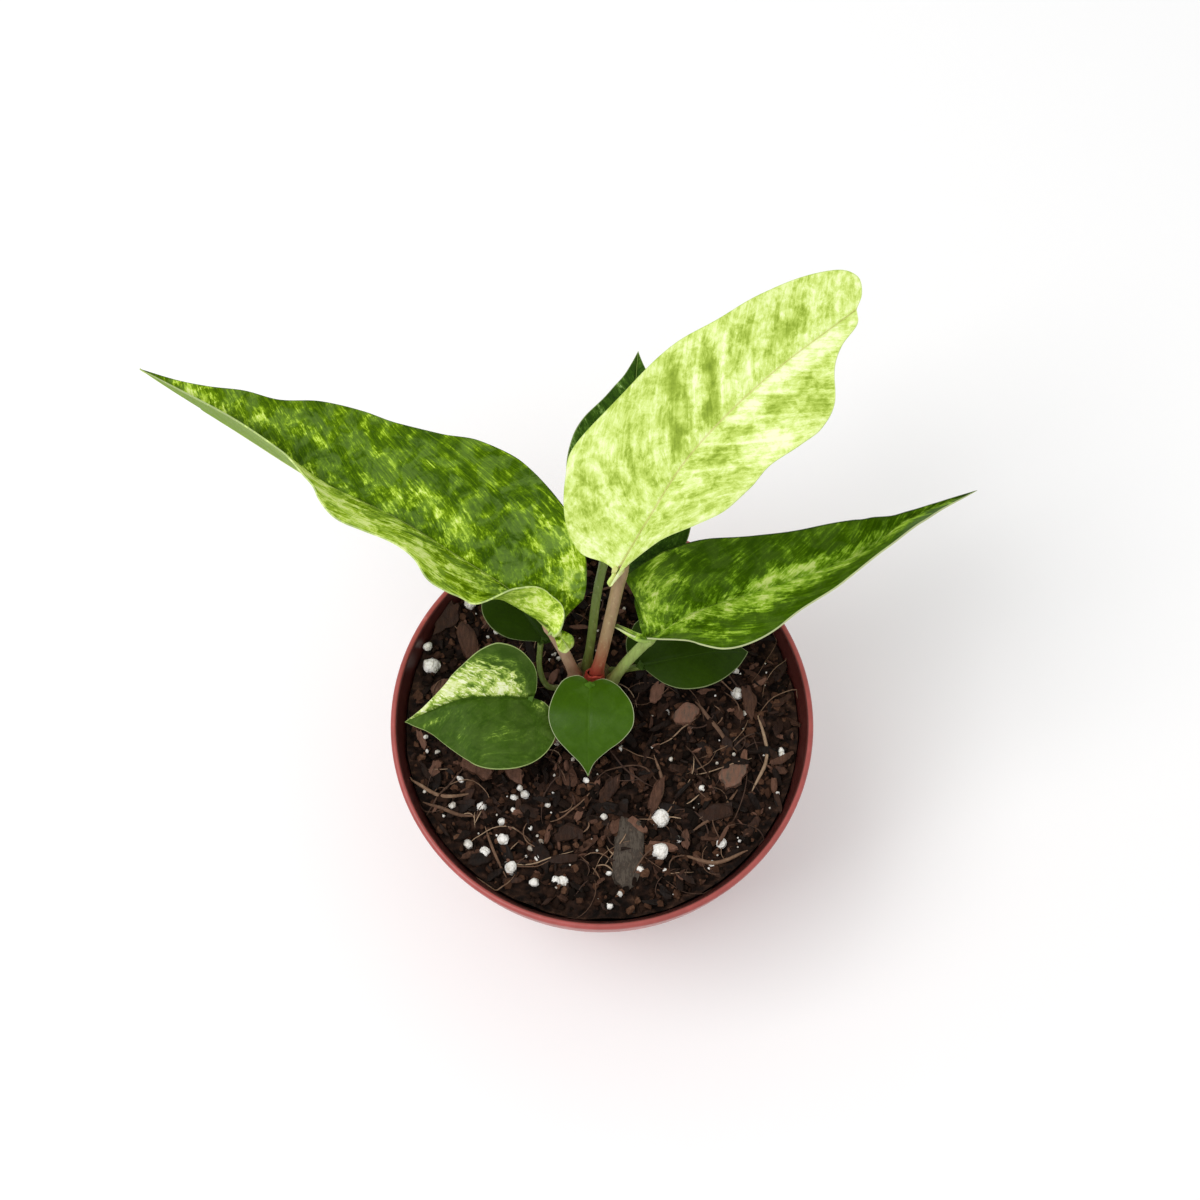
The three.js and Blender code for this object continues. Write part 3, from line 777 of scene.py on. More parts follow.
@dataclass
class Leaf:
    """A leaf: the blade, worked out as the solid is but finer, and the stalk that holds it."""

    name: str
    spine: Points
    left: Half
    right: Half
    stalk: Petiole
    finish: LeafFinish
    slot: str
    base_tone: float
    patches: tuple[Patch, ...] = ()
    rows: int = 150
    columns: int = 26
    row_pace: float = 1.05
    reach_pace: float = 0.9
    edge_pace: float = 1.25
    rib_pace: float = 1.7
    vein_space: float = 8
    vein_width: float = 0.07
    vein_lean: float = 1.0
    vein_depth: float = 0.09
    vein_comb: float = 0.56
    rib_depth: float = 0.9
    rib_reach: float = 0.85
    mid_thick: float = 1.0
    edge_thick: float = 0.36
    tip_from: float = 0.86
    tip_thin: float = 0.7
    plain_from: float = 0.08

    def __post_init__(self) -> None:
        """Works out the leaf's lengths: distances along the spine count from the joint."""
        from_tail = by_length(self.spine)
        self.tail = from_tail[1, 0]
        self.stations = from_tail - np.array([self.tail, 0, 0, 0])
        self.length = self.stations[-1, 0]
        self.halves = {-1: self.left, 1: self.right}

    def share(self, along: np.ndarray) -> np.ndarray:
        """Turns distances along the midrib into shares of its length."""
        return np.clip(along / self.length, 0, 1)

    def frame(self, along: np.ndarray) -> tuple[np.ndarray, np.ndarray, np.ndarray]:
        """Finds the midrib's places and directions.

        Args:
            along: Distances from the joint, in mm.

        Returns:
            The places, the forward directions and the upward directions.
        """
        place = np.clip(along, DELTA - self.tail, self.length - DELTA)
        ahead = unit(smooth_at(self.stations, place + DELTA) - smooth_at(self.stations, place - DELTA))
        up = unit(np.array([0.0, 0.0, 1.0]) - ahead * ahead[:, 2:3])
        origin = smooth_at(self.stations, place) + ahead * (along - place)[:, None]
        return origin, ahead, up

    def surface(self, side: int, along: np.ndarray, out: np.ndarray) -> np.ndarray:
        """Bends flat places of one half onto the blade's middle surface.

        Args:
            side: -1 for the left half, 1 for the right.
            along: Flat distances along the midrib.
            out: Flat distances out from it.

        Returns:
            The points in space.
        """
        origin, ahead, up = self.frame(along)
        share = self.share(along)
        lift, curl = self.halves[side].angles(share)
        turned_by = curl * out
        straight = np.abs(turned_by) < 1e-3
        chord = np.where(straight, out, 2 * np.sin(turned_by / 2) / np.where(straight, 1.0, curl))
        tilt = lift + turned_by / 2
        height, count, phase = self.halves[side].ripple
        ripple = height * (out / 15) ** 2 * np.sin(2 * math.pi * count * share + phase)
        level = chord * np.cos(tilt) - ripple * np.sin(tilt)
        rise = chord * np.sin(tilt) + ripple * np.cos(tilt)
        return origin + np.cross(ahead, up) * side * level[:, None] + up * rise[:, None]

    def normals(self, side: int, along: np.ndarray, out: np.ndarray) -> np.ndarray:
        """Gives the upward normals of one half's middle surface.

        Args:
            side: -1 for the left half, 1 for the right.
            along: Flat distances along the midrib.
            out: Flat distances out from it.

        Returns:
            One normal for each place.
        """
        middle = self.surface(side, along, out)
        ahead = self.surface(side, along + DELTA, out) - middle
        aside = (self.surface(side, along, out + DELTA) - middle) * side
        return unit(np.cross(aside, ahead))

    def lay_out(self) -> Sheet:
        """Lays a grid over both halves, in rows that sweep forward from the midrib.

        Returns:
            The grid, on the blade's middle surface.
        """
        column = np.arange(2 * self.columns + 1) - self.columns
        row = np.repeat(np.linspace(0, 1, self.rows + 1) ** self.row_pace, len(column))
        reach = np.tile((np.abs(column) / self.columns) ** self.reach_pace, self.rows + 1)
        side = np.tile(np.where(column < 0, -1, 1), self.rows + 1)
        flat, points, normal = np.zeros((3, len(row), 3))
        sheet = Sheet(row, reach, side, flat, np.zeros(len(row)), points, normal)
        for turn, half in self.halves.items():
            mine = side == turn
            edge = by_length([*half.edge, (self.length, 0)])
            edge_at = smooth_at(edge, row[mine] ** self.edge_pace * edge[-1, 0])
            rib_at = self.length * row[mine] ** self.rib_pace
            along = rib_at + (edge_at[:, 0] - rib_at) * reach[mine]
            wide = np.maximum(edge_at[:, 1], 0)
            out = wide * reach[mine]
            sheet.flat[mine] = np.column_stack([along, out * turn, rib_at])
            sheet.wide[mine] = wide
            sheet.points[mine] = self.surface(turn, along, out)
            upright = self.normals(turn, along, np.maximum(out, 1e-3))
            sheet.normal[mine] = np.where((out < 1e-6)[:, None], self.frame(along)[2], upright)
        return sheet

    def veins(self, sheet: Sheet) -> tuple[np.ndarray, np.ndarray, np.ndarray]:
        """Runs lateral veins over the blade, which lean further forward towards the tip.

        Args:
            sheet: The blade's grid.

        Returns:
            The places counted in veins, how much each lies in a vein, and how far it swells, in mm.
        """
        share = np.clip(sheet.along / (0.45 * self.length), 0, 1)
        lean = self.vein_lean * (0.25 + 0.75 * share * share * (3 - 2 * share))
        place = (sheet.along - lean * sheet.out * (0.8 + 0.012 * sheet.out)) / self.vein_space
        gap = np.abs(place - np.round(place)) / self.vein_width
        vein = np.exp(-(gap**2)) * (1 - sheet.reach**3) * (sheet.row < 0.97) * (sheet.along > 1)
        fade = np.clip(sheet.out**2 / 4, 0, 1) * (1 - sheet.reach**4)
        swell = self.vein_depth * fade * (np.cos(2 * math.pi * place) * -0.5 - 0.9 * vein)
        return place, vein, swell

    def depths(self, sheet: Sheet) -> tuple[np.ndarray, np.ndarray]:
        """Finds the upper face and the thickness, thin at the margin and deepest under the midrib.

        Where the halves fold up steeply, the face stays low near the midrib, so that they don't meet.

        Args:
            sheet: The blade's grid.

        Returns:
            How far the upper face lies over the middle surface, and the thickness under it, in mm.
        """
        tip = np.clip((sheet.row - self.tip_from) / (1 - self.tip_from), 0, 1)
        taper = 1 - self.tip_thin * tip**2
        thick = (self.mid_thick + (self.edge_thick - self.mid_thick) * sheet.reach) * taper
        lifts = {side: half.angles(self.share(sheet.along))[0] for side, half in self.halves.items()}
        fold = np.clip(np.where(sheet.side < 0, lifts[-1], lifts[1]), 0, 1.3)
        room = np.clip(sheet.out / (1.1 * thick * np.tan(fold) + 0.4), 0, 1)
        on_rib = np.clip(0.85 - fold / 0.5, 0, 1)
        raised = thick / 2 * (on_rib + (1 - on_rib) * room * room * (3 - 2 * room))
        keel = self.rib_depth * np.sqrt(1 - sheet.row) * np.exp(-((sheet.rib_gap / self.rib_reach) ** 2))
        return raised, raised + thick / 2 + keel * taper * (1 - sheet.reach)

    def mark(self, piece: Piece, sheet: Sheet, place: np.ndarray, vein: np.ndarray) -> None:
        """Stores at the vertices what the blade's finish reads.

        Args:
            piece: The blade's mesh.
            sheet: The grid that it was made from.
            place: The places counted in veins.
            vein: How much each lies in a vein.
        """
        out = sheet.flat[:, 1]
        tone = np.full_like(out, self.base_tone)
        for patch in self.patches:
            tone += patch.paint(sheet.along, out)
        notch = np.clip(1.6 - sheet.wide, 0, 1) * (np.abs(sheet.along) < 2.5)
        marks = {
            "flat": np.column_stack([sheet.along, out, np.zeros_like(out)]) * CM,
            "ray": np.column_stack([place * self.vein_space * CM * self.vein_comb, out * CM, sheet.row]),
            "vein": vein * np.clip(out**2 / 9, 0, 1),
            "tone": tone,
            "rib_gap": sheet.rib_gap,
            "edge_gap": sheet.wide * (1 - sheet.reach) + notch,
            "plain": np.clip((sheet.row - self.plain_from) / 0.2, 0, 1),
        }
        for name, values in marks.items():
            set_attribute(piece, name, values)

    def build_blade(self) -> Piece:
        """Shapes the blade from a grid, with veins pressed into it.

        Returns:
            The blade.
        """
        sheet = self.lay_out()
        place, vein, swell = self.veins(sheet)
        raised, thick = self.depths(sheet)
        piece = grid(f"blade_{self.name}_fine", 2 * self.columns + 1, self.rows + 1)
        set_points(piece, sheet.points + sheet.normal * (raised + swell)[:, None])
        self.mark(piece, sheet, place, vein)
        self.thicken(piece, thick)
        return piece

    def thicken(self, piece: Piece, thick: np.ndarray) -> None:
        """Gives the blade its finishes and its thickness below.

        Args:
            piece: The upper face.
            thick: The thickness at each vertex, in mm.
        """
        most = self.mid_thick + self.rib_depth
        group = piece.vertex_groups.new(name="thickness")
        for index, share in enumerate(thick / most):
            group.add([index], float(min(share, 1)), "REPLACE")
        merge_doubles(piece)
        self.face_up(piece)
        piece.data.materials.append(self.finish.top_material(f"blade_{self.name}_top"))
        piece.data.materials.append(self.finish.under_material(f"blade_{self.name}_under"))
        solid = piece.modifiers.new("thickness", "SOLIDIFY")
        solid.thickness = most * MM
        solid.offset = -1
        solid.vertex_group = "thickness"
        solid.material_offset = 1
        solid.material_offset_rim = 0
        apply_modifiers(piece)
        piece.vertex_groups.clear()
        smooth(piece, 50)

    @staticmethod
    def face_up(piece: Piece) -> None:
        """Turns a sheet's faces over if most of them look down.

        Args:
            piece: The sheet.
        """
        if sum(face.normal.z * face.area for face in piece.data.polygons) < 0:
            activate(piece)
            bpy.ops.object.mode_set(mode="EDIT")
            bpy.ops.mesh.select_all(action="SELECT")
            bpy.ops.mesh.flip_normals()
            bpy.ops.object.mode_set(mode="OBJECT")

    def build_stalk(self) -> Piece:
        """Rolls the stalk round its route: swollen at its foot and just under the blade, with a groove.

        Returns:
            The stalk.
        """
        stalk = self.stalk
        origin, _, up = self.frame(np.array([stalk.radius]))
        route = by_length([*stalk.route, origin[0] - up[0] * stalk.sunk])
        share = np.linspace(0, 1, stalk.rings)
        foot, neck = np.exp(-((share / 0.12) ** 2)), np.exp(-(((share - 0.93) / 0.05) ** 2))
        swell = stalk.waist + stalk.foot_swell * foot + stalk.neck_swell * neck
        turn = around(stalk.corners) % (2 * math.pi) - math.pi
        groove = stalk.groove * np.exp(-((turn / 0.5) ** 2))
        radius = stalk.radius * swell[:, None] * (1 - groove)
        centre = smooth_at(route, share * route[-1, 0])
        piece = tube(f"stalk_{self.name}_fine", centre, radius, (0, 1, 0), "share", share)
        return dressed(piece, self.stalk_material())

    def stalk_material(self) -> Material:
        """Builds the stalk's finish: streaked lengthwise and redder or darker at its foot.

        Returns:
            The finish.
        """
        nodes = Nodes(f"stalk_{self.name}")
        place = nodes.place()
        streak = nodes.noise(nodes.scaled(place, (900, 900, 60)), 1, 5, 0.6)
        speckle = nodes.noise(nodes.scaled(place, (1400, 1400, 500)), 1, 3, 0.6)
        height = nodes.total((nodes.number("share"), 1.0), (nodes.centred(streak), 0.35))
        color = nodes.mix(nodes.span(height, 0.05, 0.6), self.stalk.low, self.stalk.high)
        color = nodes.mix(nodes.span(speckle, 0.55, 0.75, 0, 0.25), color, srgb(225, 220, 165))
        color = nodes.mix(nodes.span(streak, 0.55, 0.3, 0, 0.3), color, srgb(90, 75, 40))
        return nodes.finish(
            color, 0.42, nodes.bump(streak, 0.3, 0.15), Specular_IOR_Level=0.45, Subsurface_Weight=0.1,
            Subsurface_Radius=(0.001, 0.0008, 0.0004),
        )

    def build(self) -> list[Piece]:
        """Builds the blade and the stalk and hands both over.

        Returns:
            The two pieces.
        """
        return [
            hand_over(self.build_blade(), f"blade_{self.name}"),
            hand_over(self.build_stalk(), f"stalk_{self.name}"),
        ]


# Pot


@dataclass
class NurseryPot:
    """The thin plastic pot: a tapered body, a taller collar under a rounded rim and a drained floor."""

    height: float = 80
    rim_radius: float = 51
    rim_thick: float = 1.7
    band_height: float = 10.5
    band_radius: float = 49.9
    body_radius: float = 48.4
    base_radius: float = 35
    wall: float = 1.3
    floor: float = 1.8
    corner: float = 2.4
    hollow: float = 0.9
    hub_radius: float = 12
    eye_radius: float = 0.4
    segments: int = 160
    drain_count: int = 8
    drain_radius: float = 3.4
    drain_ring: float = 28.5

    @property
    def band_foot(self) -> float:
        """The height at which the collar starts."""
        return self.height - self.band_height

    def inner_radius(self, z: np.ndarray | float) -> np.ndarray | float:
        """Gives the inner wall's radius at a height.

        Args:
            z: The height, or several.

        Returns:
            The radius at each.
        """
        low = np.clip(z / self.band_foot, 0, 1)
        high = np.clip((z - self.band_foot) / self.band_height, 0, 1)
        body = self.base_radius + (self.body_radius - self.base_radius) * low - self.wall
        return body + (self.rim_radius - self.rim_thick - body) * high

    def outside(self) -> Points:
        """Lists the section from the hollow under the floor, round the foot and up to the rim.

        Returns:
            Radii and heights, in mm.
        """
        base, foot, band = self.base_radius, self.base_radius - self.corner, self.band_foot
        section = [(self.eye_radius, self.hollow), (self.hub_radius, self.hollow)]
        section += [(base - 8, self.hollow), (base - 7.4, 0.0), (foot, 0.0)]
        for angle in np.linspace(0, math.pi / 2, 6)[1:]:
            section.append((foot + self.corner * math.sin(angle), self.corner * (1 - math.cos(angle))))
        for share in np.linspace(0.1, 0.99, 16):
            grown = base + (self.body_radius - base) * share
            section.append((grown, self.corner + (band - 0.9 - self.corner) * share))
        return section + [
            (self.body_radius + 0.25, band - 0.45), (self.band_radius - 0.35, band),
            (self.band_radius, band + 0.4), (self.band_radius + 0.28, band + 3.4),
            (self.rim_radius - 0.42, self.height - 3.1), (self.rim_radius - 0.4, self.height - 2.5),
            (self.rim_radius - 0.05, self.height - 2.0),
        ]

    def inside(self) -> Points:
        """Lists the section over the rounded rim, down the wall and in over the floor.

        Returns:
            Radii and heights, in mm.
        """
        bead = self.rim_thick / 2
        section = []
        for angle in np.linspace(0, math.pi, 9):
            out, up = bead * math.cos(angle), bead * math.sin(angle)
            section.append((self.rim_radius - bead + out, self.height - bead + up))
        for z in (self.height - 3, *np.linspace(self.height - 5, self.floor + self.corner, 12)):
            section.append((float(self.inner_radius(z)), float(z)))
        corner = float(self.inner_radius(0))
        return section + [
            (corner - self.corner * 0.7, self.floor + 0.5), (corner - self.corner * 1.6, self.floor),
            (self.hub_radius, self.floor), (self.eye_radius, self.floor),
        ]

    def build_shell(self) -> Piece:
        """Extrudes a circle along the section, ring by ring, and closes both ends.

        Returns:
            The shell.
        """
        section = [*self.outside(), *self.inside()]
        radius, z = section[0]
        deselect_all()
        bpy.ops.mesh.primitive_circle_add(vertices=self.segments, radius=radius * MM, location=(0, 0, z * MM))
        piece = bpy.context.active_object
        piece.name = piece.data.name = "pot_shell"
        bpy.ops.object.transform_apply(location=True, rotation=False, scale=False)
        bpy.ops.object.mode_set(mode="EDIT")
        bpy.ops.mesh.select_all(action="SELECT")
        for (near, low), (far, high) in zip(section, section[1:]):
            bpy.ops.mesh.extrude_region_move(TRANSFORM_OT_translate={"value": (0, 0, (high - low) * MM)})
            bpy.ops.transform.resize(value=(far / near, far / near, 1), center_override=(0, 0, high * MM))
        bpy.ops.object.mode_set(mode="OBJECT")
        merge_doubles(piece, fill=True)
        return piece

    def drill(self, piece: Piece) -> None:
        """Cuts the drain holes through the floor.

        Args:
            piece: The shell.
        """
        cutters = []
        for angle in around(self.drain_count + 1)[:-1]:
            deselect_all()
            x, y = self.drain_ring * MM * math.cos(angle), self.drain_ring * MM * math.sin(angle)
            bpy.ops.mesh.primitive_cylinder_add(
                vertices=28, radius=self.drain_radius * MM, depth=12 * MM, location=(x, y, 0)
            )
            cutters.append(bpy.context.active_object)
        cutter = join(cutters, "drain_cutter")
        cut = piece.modifiers.new("drain", "BOOLEAN")
        cut.operation = "DIFFERENCE"
        cut.object = cutter
        cut.solver = "EXACT"
        apply_modifiers(piece)
        bpy.data.objects.remove(cutter)

    def soil(self, piece: Piece) -> None:
        """Marks where the pot is darkened: the wall's inner side from just under the top, and the lip's inner
        half. The darkening is painted shade in the mouth, together with soil stain.

        Args:
            piece: The shell.
        """
        places = np.array([vertex.co[:] for vertex in piece.data.vertices]) / MM
        radius, z = np.hypot(places[:, 0], places[:, 1]), places[:, 2]
        wall = (radius < self.inner_radius(z) + 0.3) * np.clip((self.height - 0.6 - z) / 1.4, 0, 1)
        lip = np.clip((self.rim_radius - 1.0 - radius) / 0.45, 0, 1) * (z > self.height - 3)
        set_attribute(piece, "shade_and_soil", np.maximum(wall, lip))

    def material(self) -> Material:
        """Builds the coral plastic: slightly mottled, scuffed on the rim, dusted with soil, and darkened
        inside the mouth by painted shade with soil stain.

        Returns:
            The finish.
        """
        nodes = Nodes("coral_plastic")
        place = nodes.place()
        cloud = nodes.noise(place, 45, 4, 0.6)
        flow = nodes.noise(nodes.scaled(place, (300, 300, 25)), 1, 4, 0.6)
        speck = nodes.noise(place, 900, 4, 0.7)
        scuff = nodes.noise(nodes.scaled(place, (220, 220, 900)), 1, 5, 0.7)
        tint = nodes.total((cloud, 0.55), (flow, 0.45))
        color = nodes.ramp(tint, stops((0.3, 138, 58, 52), (0.5, 158, 70, 64), (0.72, 180, 82, 79)))
        worn = nodes.math("MULTIPLY", nodes.span(scuff, 0.56, 0.75), nodes.span(cloud, 0.4, 0.62))
        color = nodes.mix(nodes.math("MULTIPLY", worn, 0.35), color, srgb(226, 158, 146))
        dust = nodes.math("MULTIPLY", nodes.span(speck, 0.6, 0.7), nodes.span(cloud, 0.5, 0.66))
        color = nodes.mix(nodes.math("MULTIPLY", dust, 0.65), color, srgb(70, 45, 36))
        # painted shade with soil stain: the inner wall and the lip's inner half go nearly black
        shade_and_soil = nodes.total((nodes.number("shade_and_soil"), 1.0), (flow, 0.5), (1.0, -0.25))
        color = nodes.mix(nodes.span(shade_and_soil, 0.2, 0.9, 0, 0.86), color, srgb(40, 16, 12))
        height = nodes.total((flow, 0.6), (speck, 0.4))
        rough = nodes.total((cloud, 0.15), (worn, 0.2), (dust, 0.3), (1.0, 0.3))
        return nodes.finish(
            color, rough, nodes.bump(height, 0.25, 0.12), Specular_IOR_Level=0.5, Subsurface_Weight=0.05,
            Subsurface_Radius=(0.002, 0.0008, 0.0006),
        )

    def build(self) -> list[Piece]:
        """Builds the pot and hands it over.

        Returns:
            The one piece.
        """
        shell = self.build_shell()
        self.drill(shell)
        self.soil(shell)
        shell.data.materials.clear()
        return [hand_over(dressed(shell, self.material(), 35), "pot")]


# Potting mix


class Grain(Enum):
    """The kinds of loose bits on the mix."""

    CRUMB = "crumb"
    FLAKE = "flake"
    PERLITE = "perlite"


@dataclass(frozen=True)
class Scatter:
    """How many strewn bits there are, and how their sizes in mm run from many small to few large."""

    count: int
    least: float
    more: float
    rarity: float

    def size(self, chance: np.random.Generator) -> float:
        """Draws one bit's size."""
        return self.least + self.more * chance.uniform() ** self.rarity


@dataclass(frozen=True)
class Bit:
    """One loose bit: its place, its size along three axes in mm, its turns and its paleness."""

    x: float
    y: float
    lift: float
    size: tuple[float, float, float]
    turn: tuple[float, float, float]
    shade: float


def tumbled(chance: np.random.Generator, tilt: float) -> tuple[float, float, float]:
    """Draws a bit's turns: a little tilted, and turned any way about the upright."""
    return (*chance.uniform(-tilt, tilt, 2), chance.uniform(0, 6.28))


def chip(points: np.ndarray, seed: int, chance: np.random.Generator) -> None:
    """Turns a round slab's points into a bark chip's: jagged, tapered, bowed and warped.

    Args:
        points: The slab's points, which are moved.
        seed: Chooses the chip. The first one is blunt and has straight sides.
        chance: The source of chance.
    """
    turn = np.arctan2(points[:, 1], points[:, 0])
    jag = 1 + 0.036 * seed * np.sin(3 * turn + seed) + 0.024 * seed * np.sin(5 * turn + 2.1 * seed)
    blunt = (np.cos(turn) ** 4 + np.sin(turn) ** 4) ** -0.25 if seed == 0 else 1.0
    points[:, :2] *= (jag * blunt)[:, None]
    points[:, 1] *= 1 - 0.12 * seed * points[:, 0] * chance.uniform(-1, 1)
    points[:, 1] += 0.07 * seed * points[:, 0] ** 2 * chance.uniform(-1, 1)
    points[:, 2] += 0.5 * np.sin(1.6 * points[:, 0] + seed)


@dataclass
class PottingMix:
    """The mix in the pot: a crumbly bed strewn with crumbs, bark, perlite grains and fibres."""

    pot: NurseryPot
    bark: Points
    perlite: Points
    twigs: Sequence[Points]
    level: float = 73.6
    lump: float = 0.9
    edge_rise: float = 1.2
    corners: int = 289
    rings: int = 96
    crumbs: Scatter = Scatter(3000, 0.7, 1.9, 2.6)
    flakes: Scatter = Scatter(700, 1.8, 5.5, 2.4)
    grains: Scatter = Scatter(170, 0.5, 1.5, 2.4)
    fibres: Scatter = Scatter(150, 4, 15, 1.7)
    fibre_steps: int = 11
    fibre_corners: int = 7
    bark_thick: float = 2.4
    bark_lift: float = 1.1
    bare_edge: float = 1.6
    shapes: int = 6

    def height(self, x: np.ndarray, y: np.ndarray) -> np.ndarray:
        """Gives the lumpy top of the mix, a little higher towards the wall.

        Args:
            x: First coordinates, in mm.
            y: Second coordinates, in mm.

        Returns:
            The heights.
        """
        lumps = np.sin(0.31 * x + 0.9) * np.cos(0.27 * y - 0.4)
        lumps += 0.6 * np.sin(0.63 * x - 0.52 * y + 1.7) + 0.4 * np.sin(0.9 * y + 0.5 * x)
        return self.level + self.lump * lumps + self.edge_rise * (np.hypot(x, y) / self.pot.rim_radius) ** 4

    def reach(self, z: float) -> float:
        """Gives how far out the mix reaches at a height, clear of the wall."""
        return float(self.pot.inner_radius(z)) - GAP

    def build_bed(self) -> Piece:
        """Rolls the bed: a crumbly top, a side clear of the wall and a flat underside.

        Returns:
            The bed.
        """
        pot = self.pot
        share = np.linspace(0, 1, self.rings) ** 0.8
        flat = np.ones(self.corners)
        wide = np.outer(self.reach(self.level) * share, flat)
        x, y = wide * np.cos(around(self.corners)), wide * np.sin(around(self.corners))
        rough = 0.75 * hills(x, y, 3, 7) + 0.6 * np.abs(hills(x, y, 8, 3)) - 0.55
        top = self.height(x, y) + rough * (1 - share[:, None] ** 30)
        side = [(self.reach(z), z) for z in (self.level - 4, 40, pot.floor + pot.corner)]
        under = [(radius, pot.floor + GAP) for radius in (self.reach(0) - pot.corner, 14, 0)]
        low = np.array(side + under)
        wide, z = np.vstack([wide, np.outer(low[:, 0], flat)]), np.vstack([top, np.outer(low[:, 1], flat)])
        piece = turned("soil_bed", wide, z)
        merge_doubles(piece, fill=True)
        return dressed(piece, self.bed_material(), 60)

    def strewn(self, chance: np.random.Generator, spread: float = 1.0) -> tuple[float, float]:
        """Picks a place on the mix, anywhere inside the wall.

        Args:
            chance: The source of chance.
            spread: The share of the radius that is strewn.

        Returns:
            The place, in mm.
        """
        reach = (float(self.pot.inner_radius(self.level)) - self.bare_edge) * spread
        radius, angle = reach * math.sqrt(chance.uniform()), chance.uniform(0, 2 * math.pi)
        return radius * math.cos(angle), radius * math.sin(angle)

    @staticmethod
    def base_shape(kind: Grain, seed: int) -> tuple[np.ndarray, list[tuple[int, ...]]]:
        """Models one bit of a kind once, about 2 across.

        Args:
            kind: Which kind of bit.
            seed: Chooses how it is chipped.

        Returns:
            Its vertices and its faces.
        """
        deselect_all()
        if kind is Grain.FLAKE:
            bpy.ops.mesh.primitive_cylinder_add(vertices=9, radius=1, depth=2)
            bpy.ops.object.mode_set(mode="EDIT")
            bpy.ops.mesh.select_all(action="SELECT")
            bpy.ops.mesh.bevel(offset=0.2, segments=1, affect="EDGES")
            bpy.ops.object.mode_set(mode="OBJECT")
        else:
            bpy.ops.mesh.primitive_ico_sphere_add(subdivisions=2 if kind is Grain.PERLITE else 1, radius=1)
        piece = bpy.context.active_object
        points = np.array([vertex.co[:] for vertex in piece.data.vertices])
        faces = [tuple(face.vertices) for face in piece.data.polygons]
        bpy.data.objects.remove(piece)
        chance = np.random.default_rng(seed)
        if kind is Grain.FLAKE:
            chip(points, seed, chance)
        push = {Grain.CRUMB: 0.34, Grain.FLAKE: 0.13, Grain.PERLITE: 0.17}[kind]
        return points * (1 + chance.uniform(-push, push, (len(points), 1))), faces

    def strew(self, name: str, kind: Grain, bits: list[Bit], material: Material) -> Piece:
        """Copies the shapes of a kind to every bit's place and joins the copies.

        Args:
            name: The joined piece's name.
            kind: Which kind of bit.
            bits: The bits to place.
            material: Their finish.

        Returns:
            One piece with all the bits.
        """
        shapes = [self.base_shape(kind, seed) for seed in range(self.shapes)]
        points, faces, shades = [], [], []
        for index, bit in enumerate(bits):
            base, sides = shapes[index % self.shapes]
            faces += [tuple(corner + len(shades) for corner in side) for side in sides]
            ground = float(self.height(np.array(bit.x), np.array(bit.y)))
            turn = np.array(Euler(bit.turn).to_matrix())
            spot = np.array([bit.x, bit.y, ground + bit.lift])
            points.append(base * np.array(bit.size) / 2 @ turn.T + spot)
            shades += [bit.shade] * len(base)
        mesh = bpy.data.meshes.new(name)
        mesh.from_pydata((self.kept_inside(np.vstack(points)) * MM).tolist(), [], faces)
        piece = bpy.data.objects.new(name, mesh)
        bpy.context.collection.objects.link(piece)
        set_attribute(piece, "shade", np.array(shades))
        mesh.materials.append(material)
        if kind is Grain.PERLITE:
            smooth(piece, 50)
        return piece

    def kept_inside(self, points: np.ndarray) -> np.ndarray:
        """Draws points that would reach into the wall back to the room inside it.

        Args:
            points: Points in mm.

        Returns:
            The points, all clear of the wall.
        """
        radius = np.hypot(points[:, 0], points[:, 1])
        limit = self.pot.inner_radius(points[:, 2]) - GAP
        pull = np.minimum(1, limit / np.maximum(radius, 1e-6))
        return points * np.column_stack([pull, pull, np.ones_like(pull)])

    def crumb_bits(self) -> list[Bit]:
        """Scatters dark crumbs of many sizes.

        Returns:
            The crumbs.
        """
        chance = np.random.default_rng(11)
        bits = []
        for _ in range(self.crumbs.count):
            x, y = self.strewn(chance)
            size = self.crumbs.size(chance)
            flat = chance.uniform(0.5, 0.9)
            turn = tumbled(chance, 0.6)
            lift = chance.uniform(0.0, 0.9)
            sizes = (size * chance.uniform(1, 1.6), size, size * flat)
            bits.append(Bit(x, y, lift, sizes, turn, chance.uniform()))
        return bits

    def flake_bits(self) -> list[Bit]:
        """Lays the large bark chips in their places and scatters small ones.

        Returns:
            The chips.
        """
        chance = np.random.default_rng(5)
        bits = []
        for x, y, length, width, turn, shade in self.bark:
            tilt = chance.uniform(-0.12, 0.12, 2)
            sizes, turns = (length, width, self.bark_thick), (*tilt, math.radians(turn))
            bits.append(Bit(x, y, self.bark_lift, sizes, turns, shade))
        for _ in range(self.flakes.count):
            x, y = self.strewn(chance)
            length = self.flakes.size(chance)
            turn = tumbled(chance, 0.5)
            sizes = (length, length * chance.uniform(0.15, 0.5), chance.uniform(0.4, 1.0))
            bits.append(Bit(x, y, chance.uniform(0.2, 1.3), sizes, turn, 0.72 * chance.uniform() ** 1.8))
        return bits

    def perlite_bits(self) -> list[Bit]:
        """Lays the large perlite grains in their places and scatters small ones.

        Returns:
            The grains.
        """
        chance = np.random.default_rng(23)
        bits = []
        for x, y, size in self.perlite:
            turn = tuple(chance.uniform(0, 6.28, 3))
            sizes = (size * 1.05, size * chance.uniform(0.8, 1), size * 0.85)
            bits.append(Bit(x, y, size * 0.22, sizes, turn, chance.uniform(0.6, 1)))
        for _ in range(self.grains.count):
            x, y = self.strewn(chance)
            size = self.grains.size(chance)
            turn = tuple(chance.uniform(0, 6.28, 3))
            bits.append(Bit(x, y, 0.7, (size, size * 0.85, size * 0.8), turn, chance.uniform(0, 1)))
        return bits

